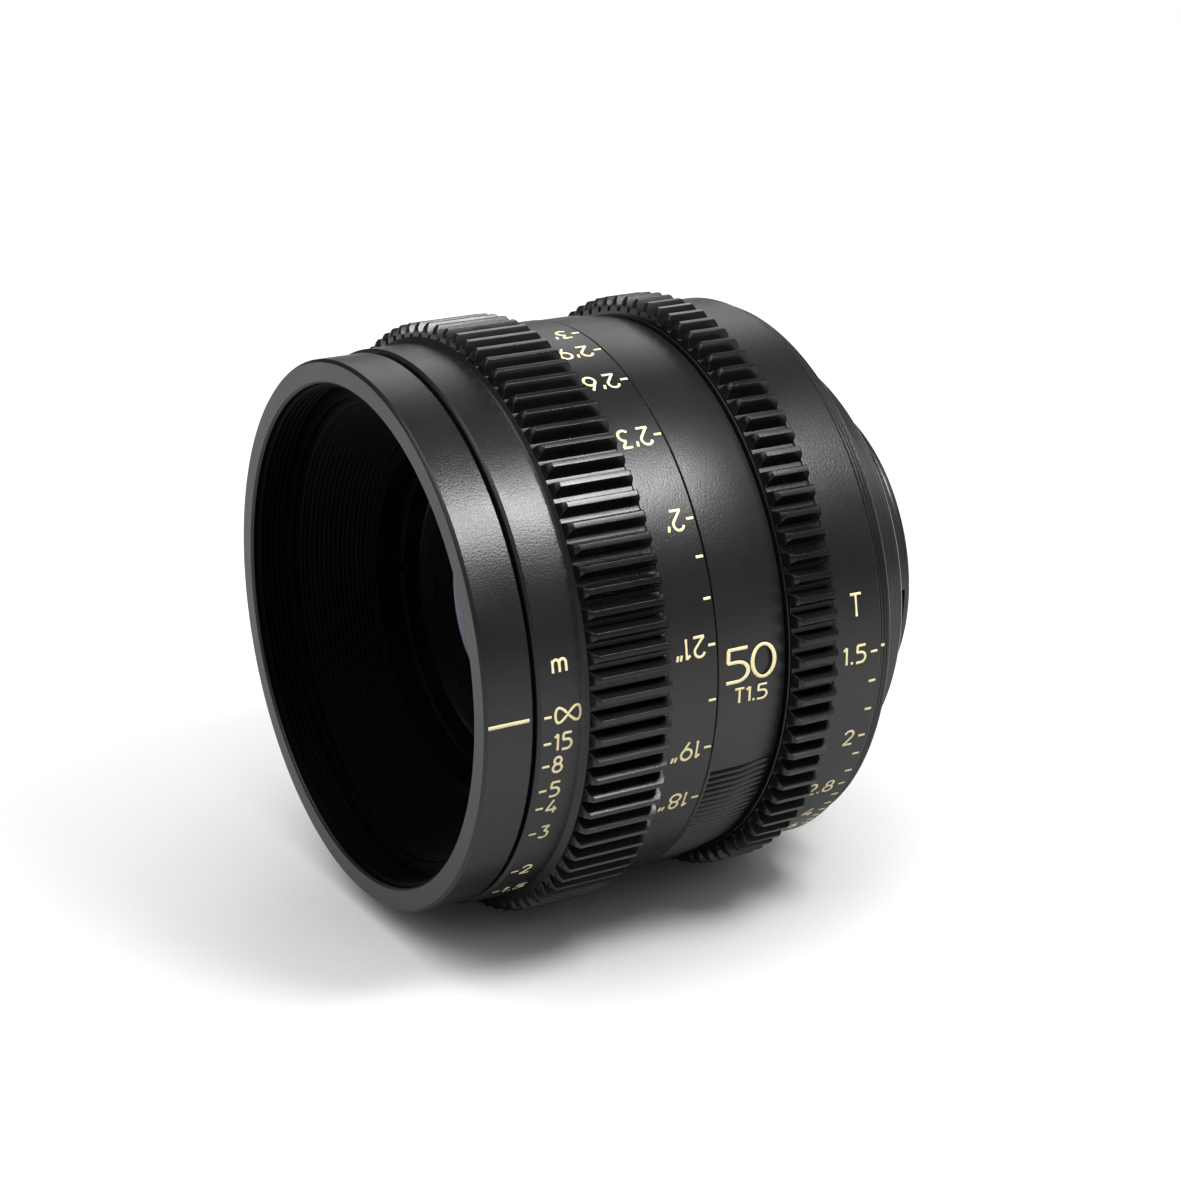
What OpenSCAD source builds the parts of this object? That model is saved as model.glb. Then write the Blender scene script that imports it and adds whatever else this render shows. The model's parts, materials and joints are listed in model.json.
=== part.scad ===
// Cinema prime lens for a four-lug rangefinder bayonet.
// The optical axis lies along Y with the front towards -Y; +Z is up and the scales face +X.
// The origin is the centre of the mount's seating plane. Heights (z) are measured forwards from that plane.

/* [Front ring] */
// Wall of the front ring outside the filter thread
front_wall = 3; // [2.8:0.05:3.2]
// Length of the front ring's outer wall
front_ring_len = 5.8; // [5.5:0.1:6.4]
// Chamfer on the front ring's outer edge
front_edge = 0.35; // [0.2:0.05:0.5]
// How far the filter thread lies outside the guide barrel
thread_step = 1.2; // [1.1:0.05:1.3]
// Filter thread pitch
thread_pitch = 0.75; // [0.6:0.05:0.8]
// Ridges in the filter thread
thread_ridges = 5; // [4:1:6]
// Smooth lead-in before the first ridge
thread_lead = 0.9; // [0.7:0.05:1.2]
// Thickness of the lip that holds the baffle
lip_t = 0.6; // [0.5:0.05:0.8]
// How far the lip reaches in from the guide barrel's outside
lip_step = 0.9; // [0.8:0.05:1]
// Wall of the front ring under the groove behind it
groove_wall = 2.6; // [2.5:0.05:2.7]
// Length of the groove between front ring and focus ring
groove_len = 1.1; // [0.8:0.1:1.6]
// How far the front ring's spigot reaches into the focus ring
spigot_lap = 0.5; // [0.4:0.05:0.7]

/* [Front baffle] */
// How far the baffle's mouth lies inside the lip
mouth_step = 0.5; // [0.4:0.05:0.6]
// Gap between the baffle's throat and the front cell's nose
throat_gap = 0.6; // [0.5:0.05:0.8]
// Length of the baffle
baffle_len = 8.6; // [7.6:0.1:8.8]
// Wall of the baffle
baffle_wall = 1; // [0.8:0.05:1.2]
// Ribs inside the baffle
baffle_ribs = 16; // [12:1:20]
// Depth of a baffle rib
baffle_rib = 0.22; // [0.15:0.01:0.3]
// Thickness of the baffle's flange
baffle_flange_t = 0.7; // [0.6:0.05:0.9]

/* [Focus ring] */
// Length of the focus ring
focus_len = 23.1; // [22.8:0.1:24]
// Wall of the focus ring under the metre band
metre_wall = 2.21; // [2:0.01:2.4]
// Wall of the focus ring under the foot band
foot_wall = 3.21; // [3:0.01:3.4]
// Length of the foot band
foot_band_len = 6.6; // [6.2:0.1:7]
// Length of the focus gear at its root
focus_gear_len = 10.6; // [9.6:0.1:11]
// Gear module of both rings
gear_module = 0.8; // [0.79:0.005:0.81]
// Wall of the focus ring under its gear, which settles how many teeth both gears have
gear_wall = 3.11; // [3.05:0.01:3.2]
// How far each end of a tooth leans back from root to tip
tooth_taper = 0.55; // [0.3:0.05:0.8]
// Angle of a focus tooth
focus_tooth_at = 2.3; // [0:0.1:4]
// Turn of the focus ring from infinity to its nearest distance
focus_throw = 206; // [180:1:220]
// Travel of the optical block over that turn
focus_travel = 7.2; // [6.6:0.1:7.4]

/* [Mid barrel] */
// Length of the mid barrel
mid_len = 9.8; // [9.2:0.1:10.6]
// Wall of the mid barrel at its front
mid_wall = 2; // [1.8:0.05:2.2]
// How much the mid barrel tapers in at its rear
mid_drop = 0.7; // [0.6:0.05:0.9]
// Length of the mid barrel's tapered rear part
mid_taper = 5; // [4:0.1:6]
// Grooves in the grip sector
rib_count = 84; // [60:1:90]
// Angle where the grip sector starts
rib_start = 200; // [198:1:204]
// Angle that the grip sector covers
rib_span = 140; // [120:1:142]
// Depth of the grooves
rib_depth = 0.55; // [0.4:0.05:0.6]

/* [Iris ring] */
// Length of the iris ring
iris_len = 13; // [12.6:0.1:13.6]
// Wall of the iris ring under the T band
t_band_wall = 4.15; // [3.9:0.05:4.3]
// Length of the iris gear at its root
iris_gear_len = 6.1; // [5.8:0.1:6.4]
// Angle of an iris tooth
iris_tooth_at = 1.35; // [0:0.05:4]
// Turn of the iris ring from fully open to fully closed
iris_throw = 72; // [66:1:74]
// Chamfer on the T band's rear edge
t_band_edge = 0.3; // [0.2:0.05:0.4]

/* [Rear] */
// Length of the index ring
index_len = 1.6; // [1.4:0.1:2]
// Wall of the index ring
index_wall = 3.33; // [3:0.01:3.6]
// Length of the rear barrel's taper
taper_len = 4.1; // [3.8:0.1:4.8]
// How far the taper's front stands out from the iris ring's bearing
taper_step = 2.33; // [2.1:0.01:2.6]
// How far the taper's rear stands out from the mount flange
taper_lip = 0.8; // [0.6:0.05:1.2]
// How far the raised half of the taper stands out
taper_raise = 0.4; // [0.3:0.05:0.5]
// Angle where the raised half of the taper starts
taper_raise_at = 2.75; // [1:0.25:5]

/* [Mount] */
// Thickness of the mount flange
flange_t = 2.5; // [2.2:0.1:2.8]
// How far the mount flange reaches out from the bayonet barrel
flange_reach = 6.8; // [6.6:0.05:7]
// Wall of the bayonet barrel
bayonet_wall = 2; // [1.8:0.05:2.2]
// Clearance of the rear cell in the bayonet barrel
bayonet_clear = 1; // [0.8:0.05:1.2]
// Length of the bayonet barrel behind the seat
bayonet_len = 5.8; // [5.6:0.1:6.2]
// How far the rear rim stands out from the bayonet barrel
rim_step = 0.4; // [0.3:0.05:0.5]
// Length of the rear rim
rim_len = 0.9; // [0.7:0.05:1.1]
// How far the lugs stand out from the bayonet barrel
lug_reach = 1.3; // [1.2:0.05:1.4]
// Front face of the lugs, behind the seat
lug_from = 2.7; // [2.5:0.1:2.9]
// Thickness of a lug
lug_t = 1.6; // [1.4:0.1:1.8]
// Angle that a lug covers
lug_span = 44; // [40:1:46]
// Angle where the first lug starts
lug_at = 3.25; // [2:0.25:5]
// Thickness of the mount shim
shim_t = 0.2; // [0.1:0.05:0.3]
// Screws that hold the mount
mount_screw_count = 5; // [4:1:6]
// Distance of the mount screws from the bayonet barrel
mount_screw_step = 3.7; // [3.5:0.05:3.9]
// Depth of the relief groove where the bayonet barrel meets the seat
relief_depth = 0.3; // [0.2:0.05:0.4]
// How far the relief groove reaches beyond the lugs
relief_reach = 0.3; // [0.2:0.05:0.4]

/* [Barrels] */
// How far the guide barrel's bore lies outside the rear barrel's
guide_step = 0.5; // [0.4:0.02:0.6]
// Wall of the guide barrel
guide_wall = 2.3; // [2.2:0.05:2.4]
// Wall of the cam sleeve
sleeve_wall = 1.97; // [1.9:0.02:2]
// How far the mid barrel's seat lies outside the guide barrel
seat_step = 3.2; // [3:0.05:3.3]
// Thickness of the guide barrel's flange
guide_flange_t = 2.5; // [2.2:0.1:2.7]
// Height of the joint between guide barrel and rear barrel above the mid barrel's rear edge
joint_up = 7; // [6.6:0.1:7.4]
// Length of the guide barrel inside the rear barrel
guide_spigot = 4; // [3:0.1:4.4]
// Wall of the rear barrel under the iris ring
rear_wall = 3.97; // [3.9:0.02:4.05]
// Clearance of the drive arm's finger in the rear barrel
arm_clear = 0.4; // [0.3:0.05:0.5]
// Thickness of the rear barrel's inner flange, which takes the mount screws
rear_flange_t = 2.5; // [2.2:0.1:3]
// How far that flange's hole lies outside the bayonet barrel
rear_hole_step = 0.8; // [0.6:0.05:1]

/* [Cam drive] */
// Cam rollers
roller_count = 3; // [2:1:3]
// Radius of a cam roller
roller_r = 1.25; // [1.1:0.05:1.3]
// Radius of a roller's shoulder screw
roller_screw_r = 0.6; // [0.5:0.02:0.7]
// Height of the rollers above the focus ring's rear edge at infinity
roller_up = 2; // [1.9:0.05:2.4]
// Angle of the first roller
roller_at = 90; // [80:1:100]

/* [Optics] */
// Glass diameters, first element to last
glass_d = [43, 37, 31, 31, 27, 27, 29]; // [26:0.1:43]
// Axial thickness of each element
glass_t = [6.5, 5.5, 5.8, 1.8, 1.8, 6.56, 3.4]; // [1.6:0.02:6.6]
// Radius of each element's front face, positive when its centre lies behind the face
face_front = [48, 38, 26, 90, -20, 45, -150]; // [-160:1:100]
// Radius of each element's rear face
face_rear = [220, 75, 90, 17, 45, -27, -42]; // [-45:1:230]
// Air space behind each element, the fourth of them at the iris and the third and fifth cement
air = [0.6, 0.8, 0.02, 16.84, 0.02, 0.4]; // [0.02:0.02:17]
// Height of the first element's front vertex above the iris blades' centre
first_vertex_up = 30.9; // [30.9:0.1:31.4]
// Opening of the hollow behind the fourth element
hollow_four_d = 25.6; // [25:0.1:26]
// Opening of the hollow before the fifth element
hollow_five_d = 23; // [22.4:0.1:23.4]

/* [Optical block] */
// Wall of the front cell's nose
nose_wall = 1.8; // [1.7:0.05:1.9]
// How far the nose stands out beyond the first element
nose_lip = 0.8; // [0.6:0.1:1.2]
// Height of the skirt's top above the rollers
skirt_above = 4; // [3.6:0.1:4.4]
// Length of the skirt below the rollers
skirt_below = 6.4; // [5.6:0.1:6.5]
// Wall of the skirt
skirt_wall = 1.52; // [1.4:0.02:1.6]
// Length of solid web below the rollers
web_below = 2.5; // [2.2:0.1:3]
// Wall of the front cell's rear tube
tube_wall = 2.1; // [1.9:0.05:2.5]
// Thickness of the front cell's rear flange
cell_flange_t = 1.4; // [1.2:0.1:1.6]
// Width of the seat that holds each group
seat_w = 0.5; // [0.4:0.05:0.6]
// Wall of the retaining rings
retainer_wall = 1.3; // [1.2:0.05:1.4]
// Length of the retaining rings
retainer_len = 2.2; // [1.8:0.1:2.4]
// Wall of the rear cell
rear_cell_wall = 3.1; // [2.7:0.05:3.3]
// How far the rear cell's flange stands out
rear_cell_flange = 4; // [3.9:0.05:4.2]
// Thickness of the rear cell's flange
rear_cell_flange_t = 1.6; // [1.4:0.1:1.8]
// Length of the rear cell behind the last element's rear edge
rear_cell_tail = 3.4; // [3:0.1:3.8]

/* [Iris] */
// Height of the iris blades' centre above the iris ring's rear edge
stop_up = 8.2; // [8:0.1:8.4]
// Radius of the fully open iris
iris_open_r = 12.4; // [12.2:0.05:12.5]
// Width of a blade
blade_w = 4.8; // [4.6:0.05:4.9]
// Arc that a blade covers from its stud
blade_arc = 135; // [130:1:140]
// Thickness of a blade
blade_t = 0.12; // [0.08:0.01:0.14]
// Axial pitch of the blades
blade_pitch = 0.2; // [0.2:0.01:0.22]
// Blades in the iris
blade_count = 10; // [10:1:10]
// Radius of the circle that the blade studs lie on
stud_pcr = 19; // [18.9:0.05:19.1]
// Radius of a blade's studs
stud_r = 0.35; // [0.3:0.01:0.38]
// Distance between a blade's two studs
blade_lever = 4.6; // [4.5:0.05:4.7]
// Swing of a blade over the iris throw
blade_swing = 34; // [33:0.5:34]
// Width of the rotor outside the blade studs
rotor_rim = 3; // [2.8:0.05:3.2]
// Thickness of the rotor
rotor_t = 1.4; // [1.3:0.05:1.6]
// Thickness of the iris base plate
base_t = 1; // [0.9:0.05:1.2]
// Wall of the iris housing
housing_wall = 1.42; // [1.3:0.05:1.5]
// Radius of the rotor's drive pin
pin_r = 0.6; // [0.5:0.02:0.65]

/* [Iris drive arm] */
// Angle of the drive arm with the iris open
arm_at = 188; // [186:1:192]
// Width of the arm
arm_w = 5; // [4.4:0.1:5.4]
// Length of the arm's root along the axis
arm_root = 3.4; // [3:0.1:3.8]
// Height of the arm's root above the iris ring's rear edge
arm_root_up = 3.1; // [2.8:0.1:3.6]
// Depth of the arm's foot in the iris ring
arm_foot = 1.7; // [1.5:0.05:1.9]
// Width of the arm's foot
arm_foot_w = 9; // [8.6:0.1:9.4]
// Thickness of the arm's finger
arm_finger_t = 2.5; // [2.2:0.05:2.6]

/* [Fits] */
// Running clearance of the turning and sliding fits
run = 0.08; // [0.06:0.01:0.1]
// Clearance of fixed seats
fit = 0.04; // [0.03:0.01:0.06]
// Side clearance of rollers, studs and pins in their slots
slot_play = 0.06; // [0.05:0.01:0.08]
// Gap between rings that turn past each other
ring_gap = 0.3; // [0.2:0.05:0.4]
// End clearance of moving parts
end_gap = 0.2; // [0.15:0.01:0.25]

/* [Hidden] */
$fn = 120;
eps = 0.01;

black = "#1b1b1c";
dark = "#2a2a2c";
steel = "#8c8e92";
brass = "#b08d4f";
glass = "#6f86a8";

// Heights of the outer rings, from the mount's seat forwards
taper_z = flange_t + shim_t;
index_z = taper_z + taper_len;
iris_z = index_z + index_len + ring_gap;
mid_z = iris_z + iris_len + ring_gap;
focus_z = mid_z + mid_len + end_gap;
groove_z = focus_z + focus_len;
front_z = groove_z + groove_len;
face_z = front_z + front_ring_len;

// Radii of the rear cell and the mount, outwards
glass_r = [for (d = glass_d) d / 2];
rear_cell_r = glass_r[6] + rear_cell_wall;
rear_cell_flange_r = rear_cell_r + rear_cell_flange;
bayonet_bore_r = rear_cell_r + bayonet_clear;
bayonet_r = bayonet_bore_r + bayonet_wall;
rim_r = bayonet_r + rim_step;
lug_r = bayonet_r + lug_reach;
relief_r = lug_r + relief_reach;
mount_screw_pcr = bayonet_r + mount_screw_step;
rear_flange_hole_r = bayonet_r + rear_hole_step;
flange_r = bayonet_r + flange_reach;
taper_rear_r = flange_r + taper_lip;

// Radii from the iris to the barrels, outwards
rotor_r = stud_pcr + rotor_rim;
housing_bore_r = rotor_r + run;
housing_r = housing_bore_r + housing_wall;
finger_r = housing_r + 2 * ring_gap;
rear_bore_r = finger_r + arm_finger_t + arm_clear;
iris_bearing_r = rear_bore_r + rear_wall;
iris_bore_r = iris_bearing_r + run;
t_band_r = iris_bore_r + t_band_wall;
index_r = iris_bearing_r + index_wall;
taper_front_r = iris_bearing_r + taper_step;
guide_bore_r = rear_bore_r + guide_step;
guide_r = guide_bore_r + guide_wall;
seat_r = guide_r + seat_step;
mid_r = seat_r + mid_wall;
mid_rear_r = mid_r - mid_drop;
rib_floor_r = mid_r - rib_depth;
sleeve_bore_r = guide_r + run;
sleeve_r = sleeve_bore_r + sleeve_wall;
focus_bore_r = sleeve_r + fit;
metre_band_r = focus_bore_r + metre_wall;
foot_band_r = focus_bore_r + foot_wall;

// Front ring, baffle and front cell
thread_major_r = guide_r + thread_step;
thread_minor_r = thread_major_r - 0.541 * thread_pitch;
front_r = thread_major_r + front_wall;
groove_r = guide_r + groove_wall;
lip_r = guide_r - lip_step;
nose_r = glass_r[0] + nose_wall;
tube_r = glass_r[2] + tube_wall;
baffle_mouth_r = lip_r - mouth_step;
baffle_throat_r = nose_r + throat_gap;

// Heights of the front ring and guide barrel
lip_z = face_z - thread_lead - thread_ridges * thread_pitch - lip_t;
guide_top_z = lip_z - baffle_flange_t;
joint_z = mid_z + joint_up;
guide_flange_z = joint_z + guide_flange_t;
guide_bottom_z = joint_z - guide_spigot;
spigot_z = groove_z - spigot_lap;
baffle_seat_r = guide_r - baffle_flange_t;
baffle_z = lip_z - baffle_len;

// Cam sleeve and rollers
sleeve_z = guide_flange_z + end_gap;
sleeve_top_z = spigot_z - end_gap;
roller_z = focus_z + roller_up;

// Gears: dedendum 1.25 modules, so twice that is taken up below the pitch circle
gear_teeth = round(2 * (focus_bore_r + gear_wall) / gear_module + 2.5);
gear_pitch_r = gear_module * gear_teeth / 2;
gear_tip_r = gear_pitch_r + gear_module;
gear_root_r = gear_pitch_r - 1.25 * gear_module;
gear_base_r = gear_pitch_r * cos(20);

// Iris stack, from the base plate forwards
blades_h = blade_count * blade_pitch;
stop_z = iris_z + stop_up;
blades_z = stop_z - blades_h / 2;
base_z = blades_z - end_gap / 2 - base_t;
rotor_z = blades_z + blades_h + end_gap / 2;
housing_top_z = rotor_z + rotor_t + end_gap;
pin_z = rotor_z + rotor_t / 2;
swing_ratio = blade_swing / iris_throw;

// Drive arm
arm_z = iris_z + arm_root_up;
finger_top_z = pin_z + focus_travel + pin_r + 2 * ring_gap;
arm_foot_r = iris_bore_r + arm_foot;

// Optical heights: front and rear vertex of element k
function total(v, n) = n <= 0 ? 0 : v[n - 1] + total(v, n - 1);
function vertex_front(k) = stop_z + first_vertex_up - total(glass_t, k) - total(air, k);
function vertex_rear(k) = vertex_front(k) - glass_t[k];
function sag(r, h) = r - sign(r) * sqrt(r * r - h * h);
function front_at(k, h) = vertex_front(k) - sag(face_front[k], h);
function rear_at(k, h) = vertex_rear(k) - sag(face_rear[k], h);
seat_1_z = rear_at(0, glass_r[0]);
seat_2_z = rear_at(1, glass_r[1]);
seat_3_r = glass_r[2] - seat_w;
doublet_rear_z = rear_at(3, hollow_four_d / 2);
seat_5_z = front_at(4, hollow_five_d / 2);
rear_step_z = rear_at(5, glass_r[5]) - seat_w;
rear_cell_z = rear_at(6, glass_r[6]) - rear_cell_tail;
nose_z = vertex_front(0) + nose_lip;
skirt_r = guide_bore_r - run;
skirt_top_z = roller_z + skirt_above;
skirt_z = roller_z - skirt_below;
web_z = roller_z - web_below;

// Puts the lens axis, drawn along Z, on -Y
module lens() { rotate([90, 0, 0]) children(); }

// A lathe-turned solid from [radius, height] points
module lathe(points) { rotate_extrude() polygon(points); }

// A plain ring between two heights
module ring(r_out, r_in, z0, z1) {
    translate([0, 0, z0]) difference() {
        cylinder(h = z1 - z0, r = r_out);
        translate([0, 0, -eps]) cylinder(h = z1 - z0 + 2 * eps, r = r_in);
    }
}

// Places a child that points along Z on the radius at an angle and height, starting at radius r0
module radial(angle, z, r0) { rotate([0, 0, angle]) translate([r0, 0, z]) rotate([0, 90, 0]) children(); }

// A radial box at an angle, centred on it
module radial_box(angle, r0, r1, w, z0, z1) {
    rotate([0, 0, angle]) translate([r0, -w / 2, z0]) cube([r1 - r0, w, z1 - z0]);
}

// A wedge of the disc between two angles
module wedge(r, a0, a1, z0, z1) {
    step = 20;
    steps = ceil((a1 - a0) / step);
    arc = [for (i = [0:steps]) let (a = a0 + (a1 - a0) * i / steps) 1.1 * r * [cos(a), sin(a)]];
    translate([0, 0, z0]) linear_extrude(z1 - z0) polygon(concat([[0, 0]], arc));
}

// A socket grub screw along Z with its tip at the bottom
module grub(r, len) {
    difference() {
        cylinder(h = len, r = r);
        translate([0, 0, len - 0.8 * r]) cylinder(h = r, r = 0.5 * r, $fn = 6);
    }
}

// A countersunk screw along Z, head at the top and just below the surface
module screw(r, head_r, len) {
    cone = head_r - r;
    difference() {
        union() {
            translate([0, 0, fit]) cylinder(h = len - 2 * fit, r = r);
            translate([0, 0, len - cone]) cylinder(h = cone - fit, r1 = r, r2 = head_r - fit);
        }
        translate([-0.2 * head_r, -head_r, len - fit - 0.5 * cone]) cube([0.4 * head_r, 2 * head_r, cone]);
    }
}

// The hole for such a screw
module screw_hole(r, head_r, len) {
    cone = head_r - r;
    cylinder(h = len, r = r + fit);
    translate([0, 0, len - cone]) cylinder(h = cone + eps, r1 = r + fit, r2 = head_r + fit + eps);
}

// Involute tooth: half its angle at radius r
function involute(a) = tan(a) * 180 / PI - a;
function tooth_half(r) = 90 / gear_teeth + involute(20) - involute(acos(gear_base_r / r));
function polar(r, a) = r * [cos(a), sin(a)];
module gear_blank(phase, len) {
    rise = (gear_tip_r - gear_root_r) / 3;
    linear_extrude(len) polygon([
        for (k = [0:gear_teeth - 1])
            for (j = [-3:4])
                let (up = j <= 0 ? 3 + j : 4 - j, r = gear_root_r + up * rise)
                    polar(r, phase + k * 360 / gear_teeth + (j <= 0 ? -1 : 1) * tooth_half(r))
    ]);
}

// A gear with both tooth ends leaning back
module gear(phase, z, len) {
    foot_r = gear_root_r - 0.1;
    translate([0, 0, z]) intersection() {
        gear_blank(phase, len);
        lathe([
            [0, 0], [foot_r, 0], [gear_tip_r + eps, tooth_taper],
            [gear_tip_r + eps, len - tooth_taper], [foot_r, len], [0, len]
        ]);
    }
}

// A glass element: k counts from 0; a hollow face leaves a flat rim outside its opening
module element(k, front_opening, rear_opening) {
    top = face_front[k] > 0 ? vertex_front(k) : front_at(k, front_opening);
    bottom = face_rear[k] < 0 ? vertex_rear(k) : rear_at(k, rear_opening);
    color(glass) lens() difference() {
        intersection() {
            translate([0, 0, bottom]) cylinder(h = top - bottom, r = glass_r[k]);
            if (face_front[k] > 0)
                translate([0, 0, vertex_front(k) - face_front[k]]) sphere(r = face_front[k]);
            if (face_rear[k] < 0)
                translate([0, 0, vertex_rear(k) - face_rear[k]]) sphere(r = -face_rear[k]);
        }
        if (face_front[k] < 0)
            translate([0, 0, vertex_front(k) - face_front[k]]) sphere(r = -face_front[k]);
        if (face_rear[k] > 0)
            translate([0, 0, vertex_rear(k) - face_rear[k]]) sphere(r = face_rear[k]);
    }
}

// Fixed barrel
module front_ring() {
    crest = 0.3 * thread_pitch;
    flank = 0.25 * thread_pitch;
    thread_z = face_z - thread_lead;
    color(black) lens() difference() {
        lathe(concat(
            [
                [thread_major_r + front_edge, face_z], [thread_major_r, face_z - front_edge]
            ],
            [
                for (k = [0:thread_ridges - 1])
                    each [
                        [thread_major_r, thread_z - k * thread_pitch],
                        [thread_minor_r, thread_z - k * thread_pitch - flank],
                        [thread_minor_r, thread_z - k * thread_pitch - flank - crest],
                        [thread_major_r, thread_z - k * thread_pitch - 2 * flank - crest]
                    ]
            ],
            [
                [thread_major_r, lip_z + lip_t], [lip_r, lip_z + lip_t], [lip_r, lip_z],
                [guide_r + fit, lip_z], [guide_r + fit, spigot_z], [groove_r, spigot_z], [groove_r, front_z],
                [front_r - front_edge / 2, front_z], [front_r, front_z + front_edge / 2],
                [front_r, face_z - front_edge], [front_r - front_edge, face_z]
            ]
        ));
        at_front_ring_screws() cylinder(h = front_ring_screw_len + 1, r = front_ring_screw_r + fit);
    }
}

front_ring_screw_r = 0.42;
front_ring_screw_len = groove_r - guide_r - 2 * fit;
module at_front_ring_screws() {
    for (a = [90, 210, 330])
        radial(a, groove_z + groove_len / 2, guide_r + fit) children();
}
module front_ring_screws() {
    color(steel) lens() at_front_ring_screws() grub(front_ring_screw_r, front_ring_screw_len);
}

module front_baffle() {
    lean = (baffle_mouth_r - baffle_throat_r) / baffle_len;
    rib = baffle_len / baffle_ribs;
    plain = baffle_flange_t + 1.2;
    color(black) lens() lathe(concat(
        [
            for (k = [0:baffle_ribs - 1])
                each [
                    [baffle_mouth_r - k * rib * lean, lip_z - k * rib],
                    [baffle_mouth_r - k * rib * lean + baffle_rib, lip_z - (k + 0.35) * rib]
                ]
        ],
        [
            [baffle_throat_r, baffle_z], [baffle_throat_r + baffle_wall, baffle_z],
            [baffle_mouth_r - plain * lean + baffle_wall, lip_z - plain],
            [baffle_seat_r - fit, lip_z - plain], [baffle_seat_r - fit, guide_top_z],
            [guide_r, guide_top_z], [guide_r, lip_z]
        ]
    ));
}

module guide_barrel() {
    baffle_room_z = guide_top_z - 5.2;
    color(dark) lens() difference() {
        union() {
            ring(guide_r, guide_bore_r, guide_bottom_z, guide_top_z);
            ring(seat_r, guide_r - eps, joint_z, guide_flange_z);
        }
        translate([0, 0, baffle_room_z]) cylinder(h = 6, r = baffle_seat_r);
        for (k = [0:roller_count - 1])
            guide_slot(roller_at + k * 360 / roller_count);
        barrel_screw_holes();
    }
}

// Straight slot for one roller, round at both ends
module guide_slot(angle) {
    half = roller_r + slot_play;
    low = roller_z - end_gap;
    high = roller_z + focus_travel + end_gap;
    radial_box(angle, guide_bore_r - 1, guide_r + 1, 2 * half, low, high);
    for (z = [low, high])
        radial(angle, z, guide_bore_r - 1) cylinder(h = guide_wall + 2, r = half);
}

barrel_screw_r = 0.6;
barrel_screw_head_r = 1.1;
barrel_screw_pcr = (guide_r + seat_r) / 2;
barrel_screw_bite = 2.6;
barrel_screw_len = guide_flange_t + barrel_screw_bite;
module at_barrel_screws() {
    for (a = [30:60:330])
        rotate([0, 0, a]) translate([barrel_screw_pcr, 0, guide_flange_z - barrel_screw_len]) children();
}
module barrel_screw_holes() {
    at_barrel_screws() screw_hole(barrel_screw_r, barrel_screw_head_r, barrel_screw_len);
}
module barrel_screws() {
    color(steel) lens() at_barrel_screws() screw(barrel_screw_r, barrel_screw_head_r, barrel_screw_len);
}

module mid_barrel() {
    top = mid_z + mid_len;
    edge = 0.15;
    groove = rib_span / rib_count;
    half = 0.75 * groove;
    clear_r = mid_r + 0.6;
    color(black) lens() difference() {
        lathe([
            [seat_r + fit, mid_z], [mid_rear_r - edge, mid_z], [mid_rear_r, mid_z + edge],
            [mid_r, mid_z + mid_taper], [mid_r, top - edge], [mid_r - edge, top], [seat_r + fit, top]
        ]);
        translate([0, 0, mid_z - 1]) linear_extrude(mid_len + 1 - 3 * edge)
            for (k = [0:rib_count - 1]) {
                a = rib_start + (k + 0.5) * groove;
                polygon([polar(rib_floor_r, a), polar(clear_r, a - half), polar(clear_r, a + half)]);
            }
        at_mid_barrel_screws() cylinder(h = mid_barrel_screw_len + 1, r = mid_barrel_screw_r + fit);
    }
}

mid_barrel_screw_r = 0.8;
mid_barrel_screw_len = mid_rear_r - seat_r;
module at_mid_barrel_screws() {
    for (a = [125, 185])
        radial(a, mid_z + mid_len / 2, seat_r + fit) children();
}
module mid_barrel_screws() {
    color(steel) lens() at_mid_barrel_screws() grub(mid_barrel_screw_r, mid_barrel_screw_len);
}

module rear_barrel() {
    window = asin((arm_w / 2 + 2 * ring_gap) / rear_bore_r);
    window_z0 = arm_z - 2 * ring_gap;
    window_z1 = arm_z + arm_root + 2 * ring_gap;
    foot = 0.5;
    color(black) lens() difference() {
        union() {
            lathe([
                [guide_r + fit, joint_z], [guide_r + fit, guide_bottom_z], [rear_bore_r, guide_bottom_z],
                [rear_bore_r, taper_z + rear_flange_t], [rear_flange_hole_r, taper_z + rear_flange_t],
                [rear_flange_hole_r, taper_z], [taper_rear_r, taper_z], [taper_rear_r, taper_z + foot],
                [taper_front_r, index_z], [iris_bearing_r, index_z], [iris_bearing_r, mid_z],
                [seat_r, mid_z], [seat_r, joint_z]
            ]);
            rotate([0, 0, taper_raise_at]) rotate_extrude(angle = 180 - 2 * taper_raise_at) polygon([
                [taper_rear_r - 1, taper_z + foot], [taper_rear_r + taper_raise, taper_z + foot],
                [taper_front_r + taper_raise, index_z - ring_gap], [taper_front_r - 1, index_z - ring_gap]
            ]);
        }
        intersection() {
            ring(iris_bearing_r + 1, rear_bore_r - 1, window_z0, window_z1);
            wedge(seat_r, arm_at - window, arm_at + iris_throw + window, window_z0 - 1, window_z1 + 1);
        }
        barrel_screw_holes();
        mount_screw_holes();
        at_index_ring_screws() cylinder(h = index_ring_screw_len, r = index_ring_screw_r + fit);
    }
}

module index_ring() {
    edge = 0.2;
    color(black) lens() difference() {
        lathe([
            [iris_bearing_r + fit, index_z], [index_r - edge, index_z], [index_r, index_z + edge],
            [index_r, index_z + index_len - edge], [index_r - edge, index_z + index_len],
            [iris_bearing_r + fit, index_z + index_len]
        ]);
        at_index_ring_screws() cylinder(h = index_ring_screw_len + 1, r = index_ring_screw_r + fit);
    }
}

index_ring_screw_r = 0.45;
index_ring_screw_bite = 1;
index_ring_screw_len = index_r - iris_bearing_r + index_ring_screw_bite - 0.3;
module at_index_ring_screws() {
    for (a = [120, 240])
        radial(a, index_z + index_len / 2, iris_bearing_r - index_ring_screw_bite) children();
}
module index_ring_screws() {
    color(steel) lens() at_index_ring_screws() grub(index_ring_screw_r, index_ring_screw_len);
}

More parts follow.
